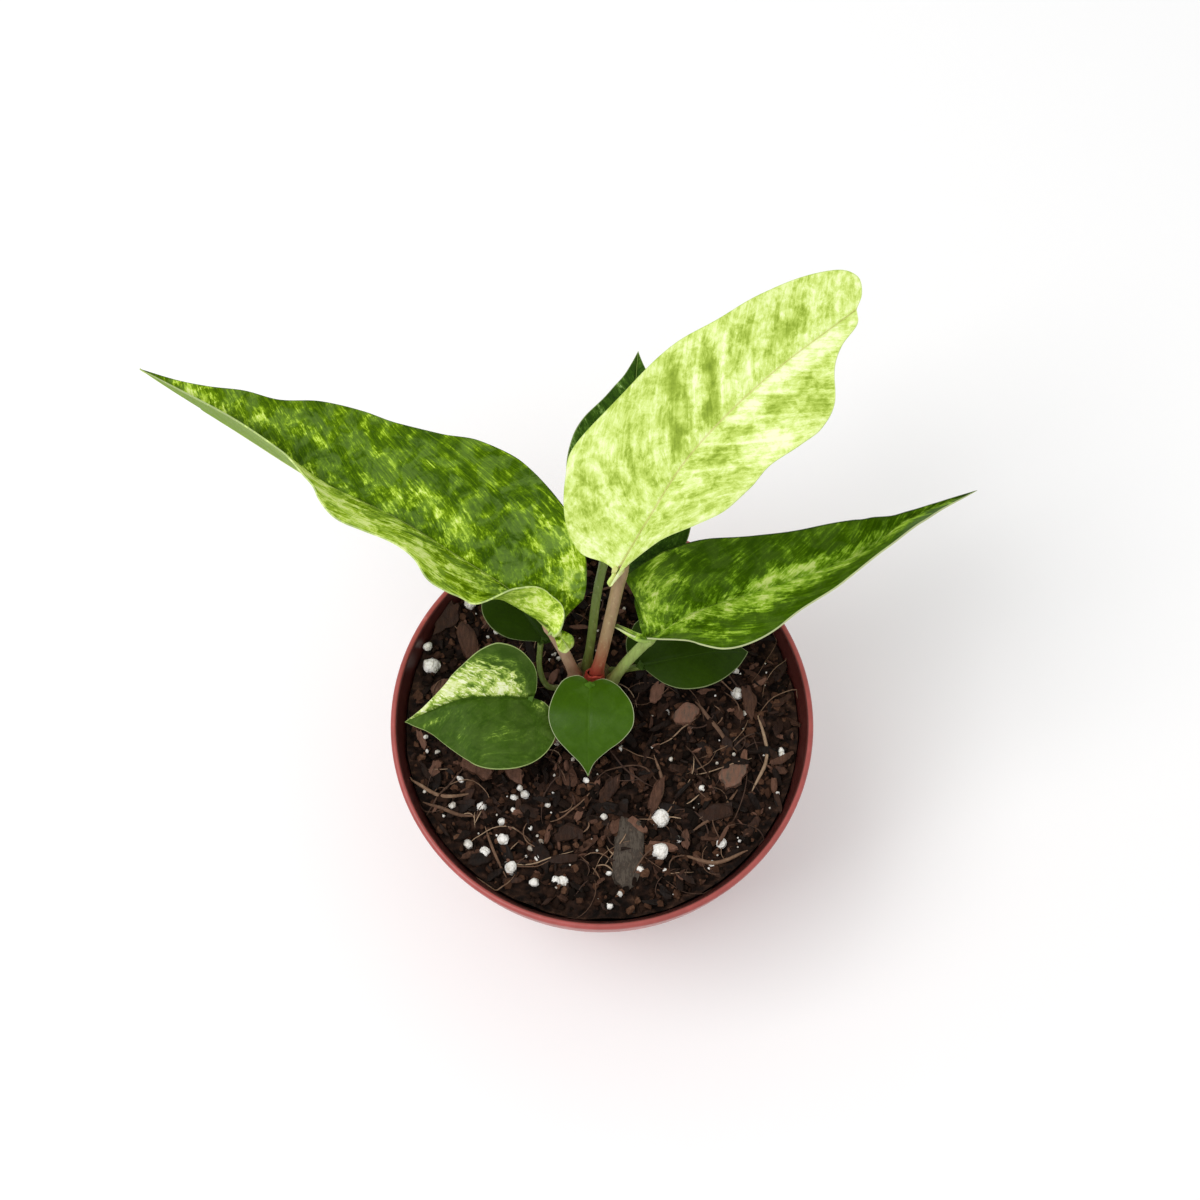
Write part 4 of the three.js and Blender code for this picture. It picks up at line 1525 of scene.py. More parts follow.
    def fibre_runs(self, chance: np.random.Generator) -> list[tuple[np.ndarray, float, float]]:
        """Lays out thin roots and coir fibres, some in their places and the rest strewn.

        Args:
            chance: The source of chance.

        Returns:
            Each fibre's places, its radius in mm and its paleness.
        """
        runs = []
        for twig in self.twigs:
            spots = by_length(twig)
            along = smooth_at(spots, np.linspace(0, spots[-1, 0], 14))
            runs.append((along, chance.uniform(0.32, 0.52), chance.uniform(0.4, 0.85)))
        for _ in range(self.fibres.count):
            spots = [self.strewn(chance, 0.92)]
            heading, bend = chance.uniform(0, 6.28), chance.uniform(-0.22, 0.22)
            step = self.fibres.size(chance) / self.fibre_steps
            for _ in range(self.fibre_steps):
                heading += bend + chance.uniform(-0.12, 0.12)
                x, y = spots[-1]
                spots.append((x + step * math.cos(heading), y + step * math.sin(heading)))
            runs.append((np.array(spots), 0.07 + 0.16 * chance.uniform() ** 2, chance.uniform(0, 1)))
        return runs

    def build_fibres(self) -> Piece:
        """Rolls the fibres over the mix, each thin at its ends.

        Returns:
            One piece with all the fibres.
        """
        chance = np.random.default_rng(31)
        tubes = []
        for index, (spots, radius, shade) in enumerate(self.fibre_runs(chance)):
            count = len(spots)
            rise = 0.9 + 0.5 * np.sin(np.linspace(0, math.pi, count)) * chance.uniform(0.3, 2)
            z = self.height(spots[:, 0], spots[:, 1]) + rise
            centre = self.kept_inside(np.column_stack([spots, z]))
            thin = radius * (1 - 0.75 * np.abs(np.linspace(-1, 1, count)) ** 3)
            rings = np.outer(thin, np.ones(self.fibre_corners))
            fibre = tube(f"fibre_{index}", centre, rings, (0, 0, 1), "shade", np.full(count, shade))
            smooth(fibre, 60)
            tubes.append(fibre)
        piece = join(tubes, "soil_fibres")
        piece.data.materials.append(self.fibre_material())
        return piece

    @staticmethod
    def bed_material() -> Material:
        """Builds the finish of the fine, moist part of the mix.

        Returns:
            The finish.
        """
        nodes = Nodes("moist_mix")
        place = nodes.place()
        clod = nodes.noise(place, 170, 6, 0.7, 0.4)
        grit = nodes.noise(place, 900, 5, 0.75)
        chips = nodes.cells(nodes.scaled(place, (1, 1.6, 1)), 420)
        tone = nodes.total((clod, 0.5), (grit, 0.35), (chips, 0.3))
        shades = stops((0.3, 8, 5, 4), (0.5, 22, 14, 10), (0.64, 46, 30, 22), (0.8, 84, 60, 46))
        relief = nodes.bump(nodes.total((clod, 0.6), (grit, 0.3), (chips, 0.5)), 1.0, 0.9)
        rough = nodes.span(grit, 0.3, 0.7, 0.7, 0.95)
        return nodes.finish(nodes.ramp(tone, shades), rough, relief, Specular_IOR_Level=0.12)

    @staticmethod
    def bark_material() -> Material:
        """Builds the finish of bark: brown to grey-brown with a fine fibre grain.

        Returns:
            The finish.
        """
        nodes = Nodes("bark")
        place = nodes.place()
        grain = nodes.noise(nodes.scaled(place, (1500, 350, 900)), 1, 5, 0.7, 0.5)
        cloud = nodes.noise(place, 330, 5, 0.65)
        noises = ((nodes.centred(grain), 0.5), (nodes.centred(cloud), 0.4))
        tone = nodes.total((nodes.number("shade"), 1.0), *noises)
        shades = stops(
            (0.0, 22, 14, 9), (0.3, 50, 32, 23), (0.5, 80, 54, 41), (0.72, 120, 86, 70), (0.84, 92, 78, 67),
            (0.94, 58, 50, 43), (1.0, 84, 75, 66),
        )
        rough = nodes.span(cloud, 0.35, 0.65, 0.42, 0.85)
        return nodes.finish(
            nodes.ramp(tone, shades), rough, nodes.bump(grain, 0.8, 0.5), Specular_IOR_Level=0.16
        )

    @staticmethod
    def crumb_material() -> Material:
        """Builds the finish of the dark crumbs.

        Returns:
            The finish.
        """
        nodes = Nodes("crumbs")
        grit = nodes.noise(nodes.place(), 1300, 4, 0.7)
        tone = nodes.total((nodes.number("shade"), 0.8), (nodes.centred(grit), 0.6))
        shades = stops((0.1, 17, 9, 4), (0.45, 44, 27, 18), (0.75, 78, 52, 37), (1.0, 118, 88, 68))
        color = nodes.ramp(tone, shades)
        return nodes.finish(color, 0.85, nodes.bump(grit, 0.8, 0.3), Specular_IOR_Level=0.12)

    @staticmethod
    def perlite_material() -> Material:
        """Builds the finish of perlite: chalky white, pitted and a little soiled.

        Returns:
            The finish.
        """
        nodes = Nodes("perlite")
        place = nodes.place()
        pits = nodes.cells(place, 1500)
        soil = nodes.noise(place, 420, 5, 0.7)
        tone = nodes.total((nodes.number("shade"), 0.3), (soil, 0.9), (pits, -0.25))
        color = nodes.ramp(tone, stops((0.2, 120, 104, 88), (0.4, 205, 198, 186), (0.62, 243, 240, 234)))
        return nodes.finish(
            color, 0.9, nodes.bump(nodes.total((pits, 1.0), (soil, 0.5)), 0.9, 0.35), Specular_IOR_Level=0.25,
            Subsurface_Weight=0.15, Subsurface_Radius=(0.001, 0.001, 0.001),
        )

    @staticmethod
    def fibre_material() -> Material:
        """Builds the finish of roots and coir: tan to brown.

        Returns:
            The finish.
        """
        nodes = Nodes("fibres")
        streak = nodes.noise(nodes.place(), 800, 4, 0.6)
        tone = nodes.total((nodes.number("shade"), 0.8), (nodes.centred(streak), 0.6))
        color = nodes.ramp(tone, stops((0.1, 64, 44, 34), (0.45, 112, 84, 64), (0.9, 176, 150, 122)))
        return nodes.finish(color, 0.75, nodes.bump(streak, 0.5, 0.15), Specular_IOR_Level=0.3)

    def build(self) -> list[Piece]:
        """Builds the bed and all that lies on it and hands the pieces over.

        Returns:
            The five pieces.
        """
        pieces = [
            self.build_bed(),
            self.strew("soil_crumbs", Grain.CRUMB, self.crumb_bits(), self.crumb_material()),
            self.strew("soil_bark", Grain.FLAKE, self.flake_bits(), self.bark_material()),
            self.strew("soil_perlite", Grain.PERLITE, self.perlite_bits(), self.perlite_material()),
            self.build_fibres(),
        ]
        return [hand_over(piece, "soil") for piece in pieces]


# Crown


@dataclass
class Crown:
    """The rootstock: a short ringed stub, with a small red sheath round the foot of one stalk."""

    x: float = -2.5
    y: float = 10.8
    top: float = 79.5
    bottom: float = 50
    top_radius: float = 3.4
    neck_radius: float = 5.6
    tail_radius: float = 3.2
    neck_low: float = 67.6
    neck_high: float = 75.6
    stub_rings: int = 61
    stub_corners: int = 49
    scar_depth: float = 0.22
    flute_depth: float = 0.18
    sheath_foot: tuple[float, float, float] = (-1.9, 10.1, 79.6)
    sheath_lean: tuple[float, float] = (0.06, 0.05)
    sheath_radius: float = 2.25
    sheath_front: float = 6.2
    sheath_back: float = 2.2
    sheath_thick: float = 0.4
    sheath_rings: int = 17
    sheath_corners: int = 41

    def build_stub(self) -> Piece:
        """Rolls the stub, with leaf scars as rings.

        Returns:
            The stub.
        """
        z = np.linspace(self.bottom, self.top, self.stub_rings)
        z[1], z[-2] = z[0], z[-1]
        heights = (self.bottom, self.neck_low, self.neck_high, self.top)
        radii = (self.tail_radius, self.neck_radius, self.neck_radius, self.top_radius)
        scars = self.scar_depth * np.abs(np.sin(z * 1.7))
        flutes = self.flute_depth * np.sin(3 * around(self.stub_corners) + z[:, None] * 0.9)
        wide = (np.interp(z, heights, radii) - scars)[:, None] + flutes
        wide[[0, -1]] = 0
        piece = turned("crown_stub", wide, z[:, None], self.x, self.y)
        merge_doubles(piece, fill=True)
        return dressed(piece, self.stub_material())

    def build_sheath(self) -> Piece:
        """Rolls the sheath, with a slanted mouth that is highest in front.

        Returns:
            The sheath.
        """
        angle = around(self.sheath_corners)
        tall = self.sheath_back + (self.sheath_front - self.sheath_back) * (0.5 - 0.5 * np.sin(angle)) ** 1.6
        share = np.linspace(0, 1, self.sheath_rings)[:, None]
        z = share * tall
        wide = self.sheath_radius * (1.06 - 0.16 * share + 0.05 * np.sin(5 * angle) * share)
        x, y, foot = self.sheath_foot
        lean_x, lean_y = self.sheath_lean
        piece = turned("sheath_fine", wide, foot + z, x + lean_x * z, y + lean_y * z)
        merge_doubles(piece)
        wall = piece.modifiers.new("wall", "SOLIDIFY")
        wall.thickness = self.sheath_thick * MM
        wall.offset = 0
        apply_modifiers(piece)
        return dressed(piece, self.sheath_material())

    @staticmethod
    def stub_material() -> Material:
        """Builds the rootstock's finish: olive to brown, fibrous.

        Returns:
            The finish.
        """
        nodes = Nodes("rootstock")
        place = nodes.place()
        ring = nodes.noise(nodes.scaled(place, (200, 200, 1100)), 1, 5, 0.6)
        cloud = nodes.noise(place, 260, 4, 0.6)
        shades = stops((0.3, 48, 36, 20), (0.5, 86, 72, 36), (0.7, 120, 112, 58))
        color = nodes.ramp(nodes.total((ring, 0.6), (cloud, 0.4)), shades)
        return nodes.finish(color, 0.7, nodes.bump(ring, 0.6, 0.3), Specular_IOR_Level=0.35)

    @staticmethod
    def sheath_material() -> Material:
        """Builds the sheath's finish: thin red tissue with lengthwise lines.

        Returns:
            The finish.
        """
        nodes = Nodes("red_sheath")
        place = nodes.place()
        line = nodes.noise(nodes.scaled(place, (1500, 1500, 120)), 1, 4, 0.6)
        cloud = nodes.noise(place, 400, 3, 0.6)
        shades = stops((0.3, 112, 30, 22), (0.5, 160, 48, 36), (0.72, 188, 82, 56))
        color = nodes.ramp(nodes.total((line, 0.5), (cloud, 0.5)), shades)
        return nodes.finish(color, 0.45, nodes.bump(line, 0.4, 0.12), Specular_IOR_Level=0.45)

    def build(self) -> list[Piece]:
        """Builds the stub and the sheath and hands both over.

        Returns:
            The two pieces.
        """
        return [
            hand_over(self.build_stub(), "crown"),
            hand_over(self.build_sheath(), "sheath"),
        ]


# Studio


@dataclass
class Studio:
    """The pale floor, the soft light and the camera, with places in metres and angles in degrees."""

    camera_place: tuple[float, float, float] = (-0.000483, -0.12856, 0.51125)
    camera_elevation: float = 69.783
    view_width: float = 35.690
    sensor_width: float = 36
    floor_size: float = 6.0
    floor_white: float = 0.94
    key_place: tuple[float, float, float] = (-0.42, -0.12, 1.0)
    key_aim: tuple[float, float, float] = (0, 0.02, 0.1)
    key_size: float = 0.5
    key_power: float = 4.8
    sky: float = 0.8

    def build_floor(self) -> None:
        """Lays a pale floor under the pot."""
        deselect_all()
        bpy.ops.mesh.primitive_plane_add(size=self.floor_size, location=(0, 0, 0))
        floor = bpy.context.active_object
        floor.name = "floor"
        white = (self.floor_white,) * 3
        floor.data.materials.append(Nodes("pale_floor").finish(white, 0.95, Specular_IOR_Level=0.05))

    def build_lights(self) -> None:
        """Hangs a soft key light at the upper left and fills the rest from a pale sky."""
        deselect_all()
        bpy.ops.object.light_add(type="AREA", location=self.key_place)
        lamp = bpy.context.active_object
        lamp.name = "key"
        lamp.data.size = self.key_size
        lamp.data.energy = self.key_power
        aim = Vector(self.key_aim) - Vector(self.key_place)
        lamp.rotation_euler = aim.to_track_quat("-Z", "Y").to_euler()
        world = bpy.data.worlds.new("sky")
        bpy.context.scene.world = world
        world.use_nodes = True
        sky = world.node_tree.nodes["Background"].inputs
        sky["Color"].default_value = (1, 1, 1, 1)
        sky["Strength"].default_value = self.sky

    def build_camera(self) -> None:
        """Sets the camera where the photo was taken from."""
        data = bpy.data.cameras.new("camera")
        data.sensor_width = self.sensor_width
        data.lens = self.sensor_width / 2 / math.tan(math.radians(self.view_width / 2))
        data.clip_start, data.clip_end = 0.01, 20
        camera = bpy.data.objects.new("camera", data)
        bpy.context.collection.objects.link(camera)
        camera.location = self.camera_place
        camera.rotation_euler = (math.radians(90 - self.camera_elevation), 0, 0)
        bpy.context.scene.camera = camera

    def build(self) -> None:
        """Builds floor, lights and camera."""
        self.build_floor()
        self.build_lights()
        self.build_camera()
        bpy.context.scene.view_settings.view_transform = "Standard"


# Leaf finishes, their tones from deep green at 0 to cream at 1

FINISH_LEFT = LeafFinish(
    ramp=stops(
        (0.0, 48, 76, 0), (0.22, 72, 102, 0), (0.38, 92, 124, 4), (0.5, 124, 156, 20), (0.62, 160, 192, 48),
        (0.78, 196, 222, 88), (1.0, 228, 240, 152),
    ),
    streak=0.36,
    mottle=0.5,
    fleck=0.28,
    cloud=0.5,
    sparse=0.7,
    calm=0.75,
    streak_scale=3.6,
    mottle_scale=2.6,
    # painted sheen: a painted reflection in pale clouds
    painted_sheen=0.42,
    painted_sheen_color=srgb(152, 184, 96),
    shine=0.03,
    rib=srgb(206, 222, 120),
    rib_width=0.25,
    margin_and_shade_left=srgb(206, 218, 160),
    # dark: painted shade along the upper edge, which curls down
    margin_and_shade_right=srgb(52, 62, 34),
    under=srgb(128, 156, 58),
    under_mix=0.85,
    seed=1.3,
)
FINISH_TOP = LeafFinish(
    ramp=stops(
        (0.0, 116, 140, 38), (0.2, 146, 170, 58), (0.36, 172, 195, 84), (0.5, 194, 214, 110),
        (0.64, 208, 226, 134), (0.8, 223, 236, 162), (1.0, 237, 242, 196),
    ),
    streak=0.3,
    mottle=0.42,
    fleck=0.14,
    cloud=0.15,
    vein_tone=0.3,
    rib=srgb(200, 186, 130),
    rib_width=0.6,
    rib_mix=0.5,
    under=srgb(186, 212, 112),
    margin_and_shade_left=srgb(150, 176, 84),
    margin_and_shade_right=srgb(214, 234, 150),
    margin_mix=0.4,
    seed=4.1,
)
FINISH_RIGHT = LeafFinish(
    ramp=stops(
        (0.0, 42, 70, 0), (0.22, 58, 88, 2), (0.38, 78, 112, 10), (0.5, 110, 146, 26), (0.62, 142, 180, 46),
        (0.8, 178, 206, 82), (1.0, 214, 226, 140),
    ),
    streak=0.4,
    mottle=0.42,
    cloud=0.4,
    sparse=0.6,
    streak_scale=4.0,
    mottle_scale=2.6,
    # painted sheen: a painted reflection in pale clouds
    painted_sheen=0.26,
    painted_sheen_color=srgb(126, 152, 72),
    shine=0.04,
    rib_mix=0.1,
    # dark: painted shade along the upper edge, which curls down
    margin_and_shade_left=srgb(40, 52, 26),
    margin_and_shade_right=srgb(216, 222, 172),
    margin_mix=0.65,
    under=srgb(110, 138, 62),
    seed=7.7,
)
FINISH_BACK = LeafFinish(
    ramp=stops(
        (0.0, 30, 56, 8), (0.24, 46, 76, 14), (0.4, 66, 98, 26), (0.52, 104, 136, 62),
        (0.66, 160, 186, 120), (1.0, 220, 230, 190),
    ),
    margin_mix=0.25,
    under=srgb(96, 124, 66),
    seed=9.2,
)
FINISH_HEART_LEFT = LeafFinish(
    ramp=stops(
        (0.0, 48, 74, 10), (0.22, 62, 90, 20), (0.36, 84, 112, 34), (0.5, 122, 152, 54),
        (0.62, 168, 192, 84), (0.76, 212, 224, 146), (1.0, 238, 242, 204),
    ),
    streak=0.22,
    mottle=0.4,
    fleck=0.36,
    calm=0.42,
    # painted sheen: a painted reflection in pale clouds
    painted_sheen=0.34,
    painted_sheen_color=srgb(106, 128, 62),
    vein_tone=0.0,
    rib=srgb(96, 130, 50),
    rib_mix=0.15,
    margin_mix=0.6,
    under=srgb(110, 142, 72),
    shine=0.1,
    rough=0.34,
    seed=12.4,
)
FINISH_HEART_FRONT = LeafFinish(
    ramp=stops(
        (0.0, 42, 72, 2), (0.3, 56, 88, 6), (0.6, 82, 116, 22), (1.0, 150, 182, 90),
    ),
    streak=0.1,
    mottle=0.16,
    fleck=0.02,
    # painted sheen: a painted reflection in pale clouds
    painted_sheen=0.2,
    painted_sheen_color=srgb(100, 130, 66),
    vein_tone=0.0,
    rib=srgb(86, 126, 34),
    rib_mix=0.12,
    margin_and_shade_left=srgb(206, 212, 170),
    margin_and_shade_right=srgb(206, 212, 170),
    margin_mix=0.65,
    under=srgb(110, 142, 72),
    shine=0.1,
    rough=0.34,
    seed=12.4,
)
FINISH_LOW = LeafFinish(
    ramp=stops(
        (0.0, 24, 42, 0), (0.3, 38, 60, 2), (0.6, 62, 86, 20), (1.0, 150, 170, 100),
    ),
    streak=0.1,
    mottle=0.16,
    fleck=0.02,
    vein_tone=0.0,
    rib=srgb(66, 92, 30),
    rib_mix=0.2,
    margin_and_shade_left=srgb(170, 182, 130),
    margin_and_shade_right=srgb(170, 182, 130),
    under=srgb(80, 104, 56),
    shine=0.07,
    rough=0.4,
    seed=15.9,
)

STALK_LEFT = Petiole(
    ((-6.2, 10.9, 78), (-9.2, 12.5, 94)), 1.5, "stalk_tan", srgb(170, 130, 100), srgb(188, 154, 128)
)
STALK_TOP = Petiole(
    ((-1.6, 10.4, 79), (0.8, 12, 103)), 1.55, "stalk_tan", srgb(172, 62, 48), srgb(160, 134, 100)
)
STALK_RIGHT = Petiole(
    ((2.3, 9.8, 78), (6.2, 10.9, 91)), 1.4, "stalk_green", srgb(140, 150, 80), srgb(163, 186, 104)
)
STALK_BACK = Petiole(
    ((-3.7, 13.2, 79), (-2.6, 16, 91), (-0.9, 23.5, 106.5)), 1.15,
    "stalk_olive", srgb(100, 116, 52), srgb(122, 142, 66),
)
STALK_HEART_LEFT = Petiole(
    ((-5.6, 6.8, 77), (-9, 1.8, 79.5), (-13.5, 0.8, 83)), 0.85,
    "stalk_olive", srgb(110, 124, 60), srgb(130, 148, 76),
)
STALK_HEART_FRONT = Petiole(
    ((-1.5, 6.8, 77.5), (-1.8, 4.2, 82)), 0.85, "stalk_olive", srgb(110, 124, 60), srgb(130, 148, 76)
)
STALK_LOW_LEFT = Petiole(
    ((-7, 9, 76.5), (-13, 8.4, 78.5), (-15.1, 12, 81.5)), 0.75,
    "stalk_olive", srgb(92, 104, 44), srgb(110, 130, 56),
)
STALK_LOW_RIGHT = Petiole(
    ((2.4, 12.8, 77), (5.2, 11.9, 81)), 0.85, "stalk_olive", srgb(92, 104, 44), srgb(110, 130, 56)
)

# Soft spots on the blades, placed flat

PATCHES_LEFT = patches(
    (44, 7, 6, 2.4, 14, 0.2), (36, 6.6, 7, 3.2, 15, 0.34), (29, 6, 5, 2.6, 40, 0.26),
    (52, 5, 8, 1.6, 0, 0.14), (58, 11.5, 4, 1.4, -8, 0.14), (66, 8, 6, 1.2, -4, 0.1),
    (31.7, 17.1, 4.5, 3, 55, 0.2), (26.3, 16, 2.6, 2, 0, -0.2), (10, 15.5, 7, 4, 62, 0.24),
    (5, 10, 7, 3, 70, 0.24), (7, 14, 12, 9, 60, 0.08), (15, 18, 5, 2, 60, 0.18),
    (17.6, 9.5, 4, 2.4, 60, -0.08), (78, 8, 8, 2, 0, 0.16), (86, 5, 9, 2, 0, 0.16), (96, 3, 9, 1.8, 0, 0.2),
    (106, 2, 8, 1.8, 0, 0.24), (40, 0.8, 60, 1.3, 0, 0.2, 1), (42, -9, 40, 16, 0, 0.34, -1),
    (46, -15, 36, 6, 0, 0.22, -1), (34, -0.8, 34, 1.6, 0, 0.14, -1), (66, -7, 8, 7, 0, 0.3, -1),
    (57, -10, 5, 3.4, 0, 0.14, -1), (34, -12.6, 5, 2.2, -10, 0.2, -1), (37.5, -6, 3.4, 0.9, -20, -0.36, -1),
    (18.4, -11, 4, 2.2, -30, -0.2, -1), (41, -13, 4, 2, 0, -0.14, -1), (27, -15, 4, 2, 0, -0.14, -1),
    (8, -11, 6, 6, 0, 0.3, -1), (3, -9, 3, 3, 0, 0.3, -1), (1, -5, 3, 4, 0, 0.16, -1),
    (-5, 0, 2.8, 3, 0, 0.6),
)
PATCHES_TOP = patches(
    (66.7, -6.3, 3, 2.2, -40, -0.28), (61.4, -5.4, 3.6, 2.6, -45, -0.36), (56.3, -3.7, 2.4, 1.2, -50, -0.3),
    (56.3, -10.1, 4.4, 1.8, -50, -0.28), (51, -8, 3, 1.4, -55, -0.24), (28, -2.6, 5, 1.6, -40, -0.22),
    (38.5, -2.8, 3.4, 1.6, -50, -0.34), (37.5, -14, 3, 2, -60, -0.16), (14, -2.6, 6, 1, -30, -0.14),
    (43.6, -7, 6.5, 1.7, -60, -0.36), (47, -12.4, 4, 1.4, -60, -0.2), (36, -10, 8.5, 2.6, -62, -0.28),
    (40.2, -15.2, 3.4, 2, -60, -0.2), (31, -6.2, 5, 1.7, -62, -0.3), (27, -13, 6, 1.8, -66, -0.2),
    (21.4, -7.3, 6, 1.8, -66, -0.26), (16.9, -10.1, 5, 1.6, -70, -0.24), (13.7, -15.3, 3.6, 2, -70, -0.22),
    (8, -11.2, 3.4, 2.4, -75, -0.2), (9, -5, 4, 1.2, -60, -0.16), (49.8, 7, 3.4, 2.6, 20, -0.36),
    (58.4, 8.9, 5.4, 4, 60, -0.2), (55.5, 13.8, 5, 3, 40, -0.24), (39.5, 5.2, 3.6, 1.7, 20, -0.28),
    (33, 6.4, 4.4, 2.4, 30, -0.28), (30.2, 11.8, 4.4, 2.4, 20, -0.24), (24, 9.4, 4, 2, 40, -0.16),
    (12, 4, 4, 1.6, 30, -0.12), (52, 2, 8, 1.8, 0, 0.26), (64, 2.6, 11, 2.4, 0, 0.3),
    (45, 3.4, 4, 2.4, 0, 0.26), (41.5, 12.4, 4.6, 3.8, 20, 0.28), (46, 14, 4, 3, 0, 0.2),
    (20, 0, 24, 1.4, 0, 0.1), (0, 0, 4, 3, 0, 0.14),
)
PATCHES_RIGHT = patches(
    (9, 2, 8, 3.6, 10, 0.26), (17, 2.8, 9, 5, 8, 0.3), (27, 2.8, 9, 5.6, 8, 0.3),
    (36, 0.8, 9, 5.6, 0, 0.32), (46, 1.2, 9, 5, 4, 0.32), (56, 1.6, 9, 4.4, 0, 0.32),
    (66, 1.6, 9, 3.4, 0, 0.3), (75, 0.6, 7, 2, 0, 0.24), (31, -2.2, 4, 1.4, -10, 0.36),
    (39, -2.4, 4, 1.2, 0, 0.26), (14, 0.8, 5, 1, 4, 0.14), (11, -11, 9, 4.4, -66, 0.24),
    (5, -6, 7, 3.6, -60, 0.28), (2, -12, 5, 3, -70, 0.16), (15, 10, 5, 3, 50, 0.14),
    (20.5, 14, 5, 2, -12, 0.28, 1), (9, 6, 5, 2, 50, 0.12), (26, -9, 7, 1.4, -50, 0.08),
    (38, -7, 7, 1.2, -40, 0.08), (-5.6, 0, 3.8, 2.4, 0, 0.66),
)
PATCHES_BACK = patches(
    (31, -8.6, 5, 2.2, -50, 0.2), (25, -11.6, 5, 2.4, -50, 0.22), (38.5, -4, 4, 1.6, -30, 0.16),
    (20, -13, 5, 2, -60, 0.2), (5.4, 11.8, 4, 3, 60, 0.1), (14, -6, 6, 2, -50, 0.1),
)
PATCHES_HEART_LEFT = patches(
    (6, 1.6, 5, 3, 0, 0.46, 1), (13, 3.8, 7, 4.4, 8, 0.5, 1), (20, 3, 7, 4, 0, 0.5, 1),
    (27, 1, 5, 3, 0, 0.46, 1), (10.5, 8.6, 7, 3, 8, 0.26, 1), (6.5, 5.4, 4, 3, 30, 0.2, 1),
    (14.3, 3.6, 1.7, 1, 10, -0.4), (9.6, 4.2, 1.2, 0.8, 10, -0.3), (7.3, -9.7, 2.6, 2, -60, 0.16),
    (10, -11, 3, 1.4, -60, 0.12), (-2.2, -2, 2.2, 1.8, 0, 0.3), (12.2, -14.7, 2.4, 1.6, 0, 0.12),
    (18, -8.5, 3, 0.9, -60, 0.16), (24, -3, 5, 1, 0, 0.2),
)

# The leaves: spines from just behind the joint to the tip, and flat edges out from the midrib

